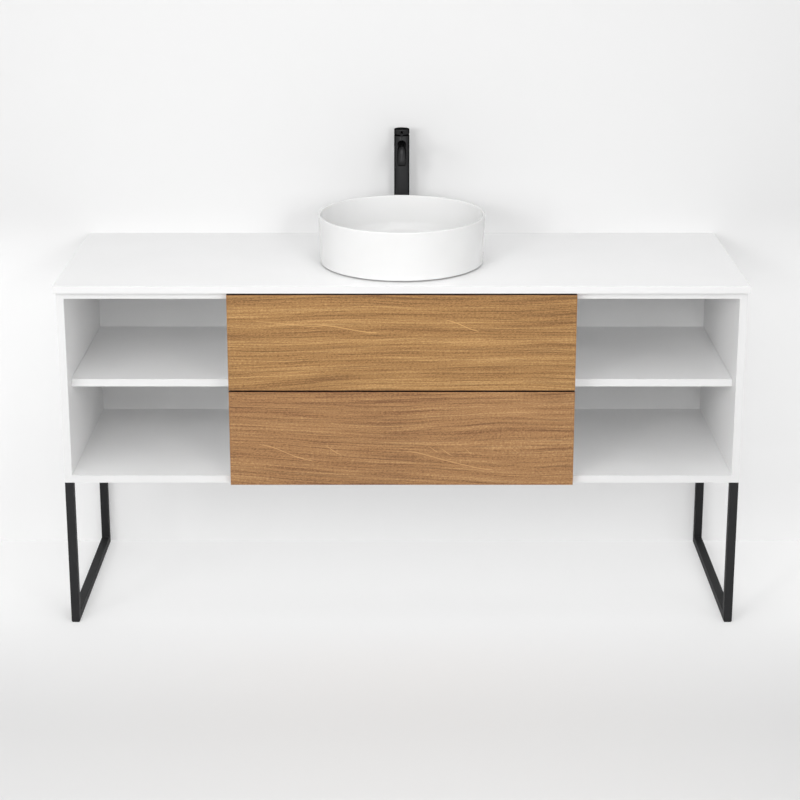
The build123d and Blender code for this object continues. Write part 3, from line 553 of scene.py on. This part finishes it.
softbox("near_right_box", (0.6, -1.8, 1.3), 0.5, 4.0, mirrored=False)
softbox("front_left_box", (-1.0, -2.4, 1.8), 0.5, 10.5, mirrored=False)
softbox("front_right_box", (0.8, -2.4, 1.8), 0.5, 6.5, mirrored=False)
softbox("left_box", (-2.4, -2.6, 1.7), 0.9, 18.0, mirrored=False)
softbox("far_left_box", (-2.0, -4.3, 2.3), 2.0, 5.0)
softbox("high_box", (0, -3.5, 4.1), 2.5, 18.0)
softbox("overhead_box", (0, -0.3, 4.1), 2.5, 31.0)
softbox("side_right_box", (2.7, -2.4, 2.2), 0.7, 5.0)
softbox("low_left_lamp", (-2.26, -4.43, 1.12), 0.25, 9.0, mirrored=False)
softbox("low_right_lamp", (1.37, -4.76, 1.30), 0.25, 5.0, mirrored=False)
softbox("left_spark", (-1.64, -3.34, 1.90), 0.28, 5.0)
softbox("right_spark", (0.98, -3.59, 1.90), 0.28, 5.0)

# %% World
world = bpy.data.worlds.new("studio")
world.use_nodes = True
bpy.context.scene.world = world
background = world.node_tree.nodes["Background"]
background.inputs["Color"].default_value = (1, 1, 1, 1)
rays = add(background, "LightPath").outputs
seen = rays["Is Camera Ray"]
for kind in ("Is Glossy Ray", "Is Transmission Ray"):
    seen = calc("MAXIMUM", seen, rays[kind])
link(step(seen, 0.0, 1.0, 0.52, 0.95), background, "Strength")
bpy.context.scene.view_settings.view_transform = "Standard"

# %% [markdown]
# ## Tools for modelling
# Pieces are shaped in edit mode, where an operator acts on what is selected. These helpers
# select pieces, add a primitive, open a piece, choose its edges or faces by a test on their
# place, and close it with its faces outwards. The last two place a piece and finish it: its
# place goes into its mesh, its round faces are smoothed, it gets its finish and its body, and
# the nodes of the frame that it stands for are hidden.

# %% Tools for shaping a piece
def pick(*pieces):
    """Selects these pieces and nothing else; the first one is active."""
    bpy.ops.object.select_all(action="DESELECT")
    for piece in pieces:
        piece.select_set(True)
    bpy.context.view_layer.objects.active = pieces[0]


def new_piece(name, primitive, **settings):
    """Adds a primitive by this operator, names it, and applies its place to its mesh."""
    bpy.ops.object.select_all(action="DESELECT")
    primitive(**settings)
    piece = bpy.context.object
    piece.name = piece.data.name = name
    bpy.ops.object.transform_apply(location=True, rotation=True, scale=True)
    return piece


def open_piece(piece, action="DESELECT"):
    """Opens one piece in edit mode, with nothing selected or, by SELECT, all of it."""
    pick(piece)
    bpy.ops.object.mode_set(mode="EDIT")
    bpy.ops.mesh.select_mode(type="VERT")
    bpy.ops.mesh.select_all(action=action)


def choose(piece, kind, wanted):
    """Selects, in edit mode, the edges or faces that pass the test."""
    bpy.ops.mesh.select_mode(type=kind)
    bpy.ops.mesh.select_all(action="DESELECT")
    mesh = bmesh.from_edit_mesh(piece.data)
    for member in {"EDGE": mesh.edges, "FACE": mesh.faces}[kind]:
        if wanted(member):
            member.select_set(True)
    bmesh.update_edit_mesh(piece.data)


def close_piece():
    """Merges doubled corners, turns the faces outwards, and leaves edit mode."""
    bpy.ops.mesh.select_all(action="SELECT")
    bpy.ops.mesh.remove_doubles(threshold=1e-6)
    bpy.ops.mesh.normals_make_consistent(inside=False)
    bpy.ops.object.mode_set(mode="OBJECT")


def apply_modifier(piece, kind, **settings):
    """Adds a modifier with these settings to a piece, and applies it."""
    pick(piece)
    modifier = piece.modifiers.new(kind.lower(), kind)
    for name, value in settings.items():
        setattr(modifier, name, value)
    bpy.ops.object.modifier_apply(modifier=modifier.name)


# %% Tools for placing and finishing a piece
def place_piece(piece, location=(0, 0, 0), turn=(0, 0, 0)):
    """Moves and turns a finished shape, and applies that to its mesh; turns are in degrees."""
    piece.location = location
    piece.rotation_euler = [math.radians(angle) for angle in turn]
    pick(piece)
    bpy.ops.object.transform_apply(location=True, rotation=True, scale=True)
    return piece


def join_pieces(first, *others):
    """Joins finished shapes into the first one."""
    pick(first, *others)
    bpy.ops.object.join()
    return first


def finish_piece(piece, material, body, *replaced, slot="", angle=32):
    """Smooths a piece below this angle, and gives it its finish and its body."""
    pick(piece)
    bpy.ops.object.shade_smooth_by_angle(angle=math.radians(angle))
    piece.data.materials.clear()
    piece.data.materials.append(material)
    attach(piece, body)
    if replaced:
        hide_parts(*replaced)
    print(piece.name, "on", body, "-", len(piece.data.polygons), "faces")

# %% [markdown]
# ## Turned shapes
# The basin, the mixer and most of the plumbing are bodies of revolution. On a lathe or a
# potter's wheel they grow ring by ring, and so they do here: a circle is extruded, and each new
# ring is resized to its radius at its height. The rings at sharp corners are bevelled
# afterwards, each as round as that corner is. A circle that starts filled makes a solid, and
# one that starts open, and ends on itself, makes a ring with a hole through it.

# %% Turned shapes
def grow_rings(rings, y=0):
    """From the first ring, which is selected, extrudes one (radius, height) ring after another."""
    for (radius, height), (next_radius, next_height) in zip(rings, rings[1:]):
        rise = {"value": (0, 0, next_height - height)}
        bpy.ops.mesh.extrude_region_move(TRANSFORM_OT_translate=rise)
        growth = next_radius / radius
        bpy.ops.transform.resize(value=(growth, growth, 1), center_override=(0, y, next_height))


def turn_shape(name, rings, sides=96, filled=False):
    """Turns (radius, height) rings round the z axis; a filled one is closed at both ends."""
    radius, height = rings[0]
    piece = new_piece(name, bpy.ops.mesh.primitive_circle_add, vertices=sides, radius=radius,
                      location=(0, 0, height), fill_type="NGON" if filled else "NOTHING")
    open_piece(piece, "SELECT")
    grow_rings(rings)
    close_piece()
    return piece


def round_ring(piece, radius, height, width, segments):
    """Bevels the ring of edges at this radius and height."""
    def on_ring(edge):
        return all(
            abs(v.co.xy.length - radius) < 2e-5 and abs(v.co.z - height) < 2e-5
            for v in edge.verts
        )

    open_piece(piece)
    choose(piece, "EDGE", on_ring)
    bpy.ops.mesh.bevel(offset=width, segments=segments, profile=0.5, affect="EDGES",
                       clamp_overlap=False)
    bpy.ops.object.mode_set(mode="OBJECT")


# %% [markdown]
# ## Basin
# The basin is thrown with a thin, nearly upright wall on a flat bottom. It could be a cylinder
# with its top scooped out, but its look is in its edges: the fully rounded rim, the wide curve
# where the wall runs into the floor of the bowl, and the foot ring that lifts the wall off the
# countertop and leaves a shadow line under it. So it is turned from the waste hole outwards,
# up the wall, over the rim and back down into the bowl.

# %% Basin
rim = (basin_high.x - basin_low.x) / 2
basin_x, basin_y = (basin_low.x + basin_high.x) / 2, (basin_low.y + basin_high.y) / 2
foot, top = basin_low.z, basin_high.z
foot_inner, foot_outer = 0.150, 0.180
under = foot + 0.002  # underside of the wall, over the foot ring
base = rim - 0.0045  # the wall leans out a little from here to the rim
wall_thick, hole, flange_seat = 0.0055, 0.024, 0.0335
bowl_edge, bowl_side = rim - 0.012, top - 0.094
bowl_floor, seat_floor = top - 0.098, top - 0.101
basin = turn_shape("vessel_basin", [
    (hole, under), (foot_inner, under), (foot_inner, foot), (foot_outer, foot),
    (foot_outer, under), (base, under), (rim, top), (rim - wall_thick, top),
    (bowl_edge, bowl_side), (flange_seat, bowl_floor), (flange_seat, seat_floor),
    (hole, seat_floor), (hole, under),
], sides=160)
for radius, height, width, segments in (
    (bowl_edge, bowl_side, 0.030, 16), (rim, top, 0.0026, 7), (rim - wall_thick, top, 0.0026, 7),
    (base, under, 0.0025, 6), (foot_inner, foot, 0.0007, 3), (foot_outer, foot, 0.0007, 3),
    (flange_seat, bowl_floor, 0.0010, 3),
):
    round_ring(basin, radius, height, width, segments)
place_piece(basin, (basin_x, basin_y, 0))
finish_piece(basin, ceramic, "vanity", "basin")

# %% [markdown]
# ## Mixer body
# The tall mixer is a plain turned column. Its details are small: a foot plate with an eased
# edge, a fine groove where the column meets it, the domed top that the lever's cap slides over,
# and below the countertop a threaded shank. The column is turned from the chamber of the
# cartridge outwards over the dome and down to the shank. The thread is a triangle that the
# Screw modifier winds up the shank.

# %% Measures of the mixer
body_low, body_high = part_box("mixer_body")
cap_low, cap_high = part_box("mixer_cap")
mixer_y = (cap_low.y + cap_high.y) / 2
column = (cap_high.x - cap_low.x) / 2
pivot_drop = 0.016  # from the cap's lower edge to the lever's pivot
pivot_z = cap_low.z - pivot_drop
cap_ball = math.hypot(column - 0.0011, pivot_drop)  # the cap is hollow to this ball
dome_ball = cap_ball - 0.0004


def ball_height(radius, ball):
    """Height of a ball round the lever's pivot, at this radius from the mixer's axis."""
    return pivot_z + math.sqrt(ball ** 2 - radius ** 2)


print("column radius", column, "pivot at z", pivot_z)


# %% Mixer body
def winding(name, radius, low, turns, pitch, depth):
    """An outside thread: a small triangle wound up a shank of this radius."""
    thread = new_piece(name, bpy.ops.mesh.primitive_circle_add, vertices=3, radius=depth,
                       location=(radius, 0, low), rotation=(right_angle, right_angle, 0),
                       fill_type="NOTHING")
    apply_modifier(thread, "SCREW", axis="Z", angle=math.tau, screw_offset=pitch,
                   iterations=turns, steps=48, render_steps=48)
    open_piece(thread)
    choose(thread, "EDGE", lambda edge: edge.is_boundary)
    bpy.ops.mesh.edge_face_add()
    close_piece()
    return thread


foot_radius, shank = (body_high.x - body_low.x) / 2, 0.0165
bore, chamber = 0.013, 0.016
chamber_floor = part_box("cartridge_housing")[0].z
bore_floor = chamber_floor - 0.018
countertop_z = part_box("countertop")[1].z
foot_top = countertop_z + 0.004
groove = 0.0005
dome_edge = column - 0.0009
shoulder = ball_height(column, dome_ball) - 0.0009
dome_rings = [(r, ball_height(r, dome_ball)) for r in (chamber, 0.017, 0.018, dome_edge)]
mixer = turn_shape("mixer_column", [
    (bore, bore_floor), (bore, chamber_floor), (chamber, chamber_floor), *dome_rings,
    (column, shoulder), (column, foot_top + groove), (column - groove, foot_top + 0.0003),
    (column - groove, foot_top), (foot_radius, foot_top), (foot_radius, countertop_z),
    (shank, countertop_z), (shank, body_low.z + 0.001), (shank - 0.001, body_low.z),
], sides=128, filled=True)
round_ring(mixer, foot_radius, foot_top, 0.0012, 5)
join_pieces(mixer, winding("shank_thread", shank - 0.0001, body_low.z + 0.002, 16, 0.0015, 0.0006))
place_piece(mixer, (0, mixer_y, 0))
# From the shoulder up, under the cap's rim, the column is painted nearly black: painted shade of
# the groove.
column_black = plain_finish("matt_black_column", **black_metal, painted_shadow_line=(shoulder, cap_high.z))
finish_piece(mixer, column_black, "vanity", "mixer_body")

# %% [markdown]
# ## Cap and lever
# The cap is a low hollow lid on the column with a softly rounded top edge, and a fine shadow
# line between the two: a small groove whose shade is also painted nearly black on the column
# and on the lid. Inside it is hollowed to a ball, so that it can tilt over the dome. The lever
# is a slim round bar with an eased rim and a shallow dish in its end, which catches a thin
# ring of light.

# %% Cap and lever
groove_top = cap_low.z + 0.0010
skirt = column - 0.0008  # the cap's foot stands back behind the shadow line
hollow_radii = (0.0032, 0.006, 0.009, 0.012, 0.014, 0.016, 0.0175)
cap = turn_shape("mixer_lid", [
    *[(radius, ball_height(radius, cap_ball)) for radius in hollow_radii],
    (column - 0.0012, cap_low.z), (skirt, cap_low.z), (skirt, groove_top),
    (column - 0.0001, groove_top), (column, groove_top + 0.0001), (column, cap_high.z),
], sides=128, filled=True)
round_ring(cap, column, cap_high.z, 0.0020, 8)
place_piece(cap, (0, mixer_y, 0))
# Below the groove's top the lid's skirt is painted nearly black: painted shade in the groove.
lid_black = plain_finish("matt_black_lid", **black_metal, painted_shadow_line=(0.0, groove_top))
finish_piece(cap, lid_black, "mixer_handle", "mixer_cap")

lever_low, lever_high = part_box("mixer_lever")
lever_radius = (lever_high.x - lever_low.x) / 2
length = lever_high.y - lever_low.y
lever = turn_shape("mixer_pin_lever", [
    (lever_radius, 0), (lever_radius, length), (lever_radius - 0.0011, length),
    (lever_radius - 0.0014, length - 0.0004), (0.0004, length - 0.0006),
], sides=48, filled=True)
round_ring(lever, lever_radius, length, 0.0006, 5)
place_piece(lever, (0, lever_high.y, (lever_low.z + lever_high.z) / 2), (90, 0, 0))
finish_piece(lever, satin_black, "mixer_handle", "mixer_lever")
print("lever", length, "long")

# %% [markdown]
# ## Spout
# The spout is one bent tube: it leaves the column level, turns down in an even curve and ends
# in a cut mouth with an eased lip. A curve with a round bevel would do, but its lip would be
# plain. So a circle standing upright is extruded to the start of the bend, spun a quarter turn,
# and extruded to the mouth, where the ring turns inwards and back up for the lip.

# %% Spout
spout_low, spout_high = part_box("mixer_spout")
spout_radius = (spout_high.x - spout_low.x) / 2
spout_z = spout_high.z - spout_radius
mouth_y, mouth_z = spout_low.y + spout_radius, spout_low.z
start_y = mixer_y - 0.0165
bend = 0.027
lip_z = mouth_z + 0.0006
spout = new_piece("mixer_spout_tube", bpy.ops.mesh.primitive_circle_add, vertices=64,
                  radius=spout_radius, location=(0, start_y, spout_z),
                  rotation=(right_angle, 0, 0), fill_type="NOTHING")
open_piece(spout, "SELECT")
run = {"value": (0, mouth_y + bend - start_y, 0)}
bpy.ops.mesh.extrude_region_move(TRANSFORM_OT_translate=run)
bpy.ops.mesh.spin(steps=20, angle=right_angle, center=(0, mouth_y + bend, spout_z - bend),
                  axis=(-1, 0, 0))
grow_rings([
    (spout_radius, spout_z - bend), (spout_radius, lip_z), (0.0104, mouth_z), (0.0098, mouth_z),
    (0.0094, mouth_z + 0.0004), (0.0094, mouth_z + 0.010),
], mouth_y)
bpy.ops.mesh.edge_face_add()
choose(spout, "EDGE", lambda edge: edge.is_boundary)
bpy.ops.mesh.edge_face_add()
close_piece()
finish_piece(spout, satin_black, "vanity", "mixer_spout")
print("mouth at z", min(v.co.z for v in spout.data.vertices), "of", mouth_z)

# %% [markdown]
# ## Aerator
# The aerator fills the spout's mouth: a honeycomb of thin walls that straightens the water, in
# a ring whose flange shows below the lip; the flange is painted nearly black, as painted shade
# under the lip. One cell is turned with six sides and copied in rows.

# %% Copies of a piece
def copy_piece(piece, name, location=(0, 0, 0), turn=(0, 0, 0)):
    """A copy with its own mesh, moved and turned."""
    twin = piece.copy()
    twin.data = piece.data.copy()
    twin.name = twin.data.name = name
    bpy.context.collection.objects.link(twin)
    return place_piece(twin, location, turn)


# %% Aerator
flange, flange_low, clear = 0.0102, -0.0030, 0.00005
ring_inner, ring_outer, ring_top = 0.0082, 0.0093, 0.0080
ring = turn_shape("aerator_ring", [
    (ring_inner, flange_low), (flange, flange_low), (flange, -clear), (ring_outer, -clear),
    (ring_outer, ring_top), (ring_inner, ring_top), (ring_inner, flange_low),
], 64)
round_ring(ring, flange, flange_low, 0.0004, 3)

cell, cell_wall, cell_depth = 0.0011, 0.00018, 0.003
comb_radius, comb_z = 0.0076, 0.0045
comb = turn_shape("aerator_cell", [
    (cell, 0), (cell, -cell_depth), (cell - cell_wall, -cell_depth), (cell - cell_wall, 0),
    (cell, 0),
], sides=6)
cells = []
for row in range(-5, 6):
    for place_in_row in range(-5, 6):
        x = cell * 1.5 * row
        y = cell * math.sqrt(3) * (place_in_row + (row % 2) / 2)
        if math.hypot(x, y) < comb_radius:
            cells.append(copy_piece(comb, "aerator_cell", (x, y, comb_z)))
bpy.data.objects.remove(comb)
floor_disc = turn_shape("aerator_insert", [(0.0083, 0.0046), (0.0083, 0.0060)], 64, filled=True)
aerator = join_pieces(floor_disc, *cells)
for piece in (ring, aerator):
    place_piece(piece, (0, mouth_y, mouth_z))
# The flange is a real part; its near-black colour is painted shade under the lip.
finish_piece(ring, flange_shade_black, "vanity", slot="matt_black_metal")
finish_piece(aerator, cartridge_plastic, "vanity", "mixer_aerator")
print("honeycomb of", len(cells), "cells")

# %% [markdown]
# ## Welds of the legs
# Each sled leg is bent from square tube and welded where its posts meet the floor rail. After
# powder coating a weld still shows as a small rippled bead in the inner corner. One bead is
# turned with a slightly wavy outline, laid along the corner and copied to the other three.

# %% Welds of the legs
leg_low, leg_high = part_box("right_leg_frame")
tube = leg_high.x - leg_low.x
rail_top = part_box("leg_pads")[1].z + tube
bead_radius, bead_tip, ripples, inset = 0.0021, 0.0004, 26, 0.0006
bead_rings = [(bead_tip, inset / 2)]
for ripple in range(ripples + 1):
    swell = bead_radius * (1.0 if ripple % 2 else 0.91)
    bead_rings.append((swell, inset + (tube - 2 * inset) * ripple / ripples))
bead_rings.append((bead_tip, tube - inset / 2))
bead = turn_shape("weld_bead", bead_rings, sides=20, filled=True)
place_piece(bead, turn=(0, 90, 0))
for hand, x in (("left", -leg_high.x), ("right", leg_low.x)):
    beads = [copy_piece(bead, hand + "_weld_beads", (x, y, rail_top + inset))
             for y in (leg_low.y + tube + inset, leg_high.y - tube - inset)]
    finish_piece(join_pieces(*beads), powder_coat, "vanity", slot="black_steel", angle=50)
bpy.data.objects.remove(bead)

# %% [markdown]
# ## Screws
# The screws are countersunk, with a cross recess for the driver. The head and the shank are
# turned, and a cross of two tapered bars is cut out of the head with the Boolean modifier. One
# screw of each length is made, and copied to its places.

# %% Screws
def cut_away(piece, tool):
    """Cuts the tool's shape out of a piece, and removes the tool."""
    apply_modifier(piece, "BOOLEAN", operation="DIFFERENCE", solver="EXACT", object=tool)
    bpy.data.objects.remove(tool)


def recess_bar(turn):
    """One bar of the cross recess, narrower towards its tip."""
    bar = new_piece("recess_bar", bpy.ops.mesh.primitive_cube_add, size=1,
                    scale=(0.0046, 0.0010, 0.0040))
    open_piece(bar)
    choose(bar, "FACE", lambda face: face.normal.z > 0.9)
    bpy.ops.transform.resize(value=(0.3, 0.6, 1), center_override=(0, 0, 0.002))
    bpy.ops.object.mode_set(mode="OBJECT")
    return place_piece(bar, turn=(0, 0, turn))


def cross_screw(length, head=0.0040, shaft=0.0020):
    """A countersunk screw with its head's face at z 0 and its tip at this height."""
    screw = turn_shape("screw", [
        (head, 0.0), (head, 0.0002), (shaft, 0.0022), (shaft, length - 0.003), (0.0003, length),
    ], sides=40, filled=True)
    for turn in (0, 90):
        cut_away(screw, recess_bar(turn))
    return screw


def set_screws(name, body, length, places, turn, *replaced):
    """Copies one screw to its places, as one piece."""
    first = cross_screw(length)
    screws = [copy_piece(first, name, place, turn) for place in places]
    bpy.data.objects.remove(first)
    finish_piece(join_pieces(*screws), zinc, body, *replaced, slot="zinc_steel")


# %% Places of the screws
ceiling_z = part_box("top_boards")[0].z
plate_low, plate_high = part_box("leg_plates")
bay_middle = (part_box("right_partition")[1].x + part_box("right_side")[0].x) / 2
stretcher_low, stretcher_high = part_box("front_stretcher")
stretcher_y = (stretcher_low.y + stretcher_high.y) / 2
rear_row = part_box("back_panels")[0].y - 0.090
top_places = [(way * bay_middle, y, ceiling_z) for way in (-1, 1) for y in (stretcher_y, rear_row)]
top_places += [(way * stretcher_high.x / 2, stretcher_y, ceiling_z) for way in (-1, 1)]
leg_places = [
    (way * (plate_high.x - in_from_side), y, plate_low.z)
    for way in (-1, 1) for in_from_side in (0.050, 0.030)
    for y in (plate_low.y + 0.015, plate_high.y - 0.015)
]
set_screws("countertop_screws", "vanity", 0.028, top_places, (0, 0, 0), "carcass_screws")
set_screws("leg_plate_screws", "vanity", 0.014, leg_places, (0, 0, 0))
for level in ("upper", "lower"):
    inner_low, inner_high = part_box(level + "_inner_front")
    face_places = [
        (way * (inner_high.x - 0.060), inner_high.y, z)
        for way in (-1, 1) for z in (inner_low.z + 0.025, inner_high.z - 0.025)
    ]
    set_screws(level + "_face_screws", level + "_drawer", 0.022, face_places, (90, 0, 0),
               level + "_front_screws")
print("screws:", len(top_places), "in the ceilings and", len(leg_places), "in the leg plates")

# %% [markdown]
# ## Nuts of the waste and the trap
# The nuts of a waste are tightened by hand, so they are moulded with ribs. Cut grooves would
# look the same, but a mould adds the ribs to a plain ring, and so does this step: the ring is
# turned, and then every other strip of faces on its outside is extruded outwards.

# %% Ribbed nuts
def raise_ribs(piece, low, high, ribs, height):
    """Extrudes every other strip of the outer faces between two heights."""
    outer = max(v.co.xy.length for v in piece.data.vertices)

    def on_rib(face):
        middle = face.calc_center_median()
        turn = math.atan2(middle.y, middle.x) / math.tau * ribs
        outside = middle.xy.length > outer * 0.95 and abs(face.normal.z) < 0.3
        return outside and low < middle.z < high and turn % 1.0 < 0.5

    open_piece(piece)
    choose(piece, "FACE", on_rib)
    bpy.ops.mesh.extrude_region_shrink_fatten(TRANSFORM_OT_shrink_fatten={"value": height})
    bpy.ops.object.mode_set(mode="OBJECT")


def ribbed_nut(name, inner, outer, height, ribs, rib, neck):
    """A ring nut with ribs outside; neck is the radius of the collar hole at its foot."""
    edge_band_shade, ease, land = outer - rib, 0.001, 0.0016
    nut = turn_shape(name, [
        (neck, 0.0), (edge_band_shade - ease, 0.0), (edge_band_shade, ease), (edge_band_shade, land), (edge_band_shade, height - land),
        (edge_band_shade, height - ease), (edge_band_shade - ease, height), (inner, height), (inner, height * 0.4),
        (neck, height * 0.4), (neck, 0.0),
    ], sides=ribs * 4)
    raise_ribs(nut, land, height - land, ribs, rib)
    return nut


# %% Nuts of the waste and the trap
trap_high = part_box("trap_body")[1]
arm_low, arm_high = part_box("trap_arm")
outlet_z = (arm_low.z + arm_high.z) / 2
nuts_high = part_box("plumbing_nuts")[1]
waste, arm, collar = 0.0212, 0.0162, 0.0182  # radii of the holes through the nuts
under_height, union_height, engaged = 0.010, 0.024, 0.012
under_nut = ribbed_nut("waste_and_union_nuts", waste, 0.034, under_height, 8, 0.0035, waste)
place_piece(under_nut, (0, basin_y, nuts_high.z - under_height))
neck_nut = ribbed_nut("neck_nut", waste, 0.026, union_height, 18, 0.0012, collar)
place_piece(neck_nut, (0, basin_y, trap_high.z - engaged))
arm_nut = ribbed_nut("arm_nut", arm, 0.025, union_height, 18, 0.0012, arm)
place_piece(arm_nut, (0, nuts_high.y, outlet_z), (90, 0, 0))
finish_piece(join_pieces(under_nut, neck_nut, arm_nut), white_plastic, "vanity", "plumbing_nuts")

# %% [markdown]
# ## Trap bottle, waste thread and wall cover
# The bottle of the trap has ribs as the nuts have, the waste has a thread wound as the mixer's
# was, and the cover at the wall is a thin turned shell that hides the hole round the arm.

# %% Trap bottle, waste thread and wall cover
bottle_low, bottle_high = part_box("trap_bottle")
joint_z = bottle_high.z - engaged
wide = (bottle_high.x - bottle_low.x) / 2
rib, bottle_wall = 0.0012, 0.0040
grip, neck = wide - rib, wide - 0.0042
inner, inner_floor = neck - bottle_wall, bottle_low.z + bottle_wall
bottle = turn_shape("ribbed_trap_bottle", [
    (grip - 0.004, bottle_low.z), (grip, bottle_low.z + 0.004), (grip, bottle_low.z + 0.008),
    (grip, joint_z - 0.010), (wide, joint_z - 0.009), (wide, joint_z), (neck, joint_z),
    (neck, bottle_high.z), (inner, bottle_high.z), (inner, inner_floor),
], sides=96, filled=True)
raise_ribs(bottle, bottle_low.z + 0.006, joint_z - 0.010, 24, rib)
place_piece(bottle, (0, basin_y, 0))
finish_piece(bottle, white_plastic, "vanity", "trap_bottle")

waste_thread = winding("waste_thread", 0.0209, trap_high.z + 0.013, 11, 0.0020, 0.0008)
place_piece(waste_thread, (0, basin_y, 0))
finish_piece(waste_thread, satin_black, "vanity", slot="matt_black_metal")

cover_low, cover_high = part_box("wall_cover")
cover_radius = (cover_high.x - cover_low.x) / 2
cover_hole, depth = 0.0163, cover_high.y - cover_low.y
cover = turn_shape("wall_rosette", [
    (cover_hole, 0), (cover_radius, 0), (cover_radius, 0.0012), (cover_radius - 0.0006, 0.0020),
    (0.0270, 0.0052), (0.0226, 0.0088), (0.0200, depth - 0.0005), (0.0195, depth),
    (cover_hole, depth), (cover_hole, 0),
])
place_piece(cover, (0, cover_high.y, outlet_z), (90, 0, 0))
finish_piece(cover, white_plastic, "vanity", "wall_cover")

# %% [markdown]
# ## Runners
# Drawer runners are rolled from steel strip, so their corners are bent round, and they are
# punched with slots for their screws. A channel could be a box with a groove, but it would have
# sharp corners. It is made as the strip is: a flat sheet is extruded at its two long edges, the
# two bends are bevelled, the slots are cut, and Solidify gives it the thickness of the steel.

# %% Rolled channels
steel, bend_radius = 0.0012, 0.0014


def rolled_channel(node, web, lips, mid_z, height):
    """A channel as long as the node, from its web's outside to its lips, rolled from strip."""
    start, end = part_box(node)[0].y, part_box(node)[1].y
    sheet_x = web + math.copysign(steel / 2, lips - web)
    sheet_height = height - steel

    def in_web(edge):
        return all(abs(v.co.x - sheet_x) < 1e-5 for v in edge.verts)

    strip = new_piece("rolled_" + node, bpy.ops.mesh.primitive_plane_add, size=1)
    strip.scale = (sheet_height, end - start, 1)
    place_piece(strip, (sheet_x, (start + end) / 2, mid_z), (0, 90, 0))
    open_piece(strip)
    for way in (-1, 1):
        edge_z = mid_z + way * sheet_height / 2
        choose(strip, "EDGE", lambda edge: in_web(edge) and all(
            abs(v.co.z - edge_z) < 1e-5 for v in edge.verts))
        lip = {"value": (lips - sheet_x, 0, 0)}
        bpy.ops.mesh.extrude_edges_move(TRANSFORM_OT_translate=lip)
    choose(strip, "EDGE", lambda edge: in_web(edge)
           and abs(edge.verts[0].co.y - edge.verts[1].co.y) > 0.1)
    bpy.ops.mesh.bevel(offset=bend_radius, segments=5, affect="EDGES")
    close_piece()
    apply_modifier(strip, "SOLIDIFY", thickness=steel, offset=0)
    for share in (0.06, 0.36, 0.66, 0.94):
        place = (sheet_x, start + (end - start) * share, mid_z)
        cut_away(strip, new_piece(
            "slot_tool", bpy.ops.mesh.primitive_cylinder_add, vertices=24, radius=0.0022,
            depth=0.006, location=place, rotation=(0, right_angle, 0), scale=(1, 2.4, 1)))
    return strip


# %% Runners
outer_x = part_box("cabinet_runners")[1].x
middle_low, middle_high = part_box("upper_middle_runners")
inner_low, inner_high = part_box("upper_drawer_runners")
cabinet_lips = outer_x - 0.0105
channels = {  # outside of the web, edge of the lips, height
    "cabinet": (outer_x, cabinet_lips, 0.045),
    "middle": (middle_high.x, cabinet_lips, middle_high.z - middle_low.z),
    "drawer": (outer_x - 0.013, inner_high.x, inner_high.z - inner_low.z),
}
runner_z = {}
groups = [("cabinet_runners", "cabinet", "vanity", ("upper", "lower"))]
for level in ("upper", "lower"):
    low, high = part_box(level + "_drawer_runners")
    runner_z[level] = (low.z + high.z) / 2
    groups.append((level + "_middle_runners", "middle", level + "_runner_link", (level,)))
    groups.append((level + "_drawer_runners", "drawer", level + "_drawer", (level,)))
for node, kind, body, levels in groups:
    web, lips, height = channels[kind]
    strips = [rolled_channel(node, side * web, side * lips, runner_z[level], height)
              for level in levels for side in (-1, 1)]
    finish_piece(join_pieces(*strips), zinc, body, node)

# %% Finish
low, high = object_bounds()
print("visual size", high - low)
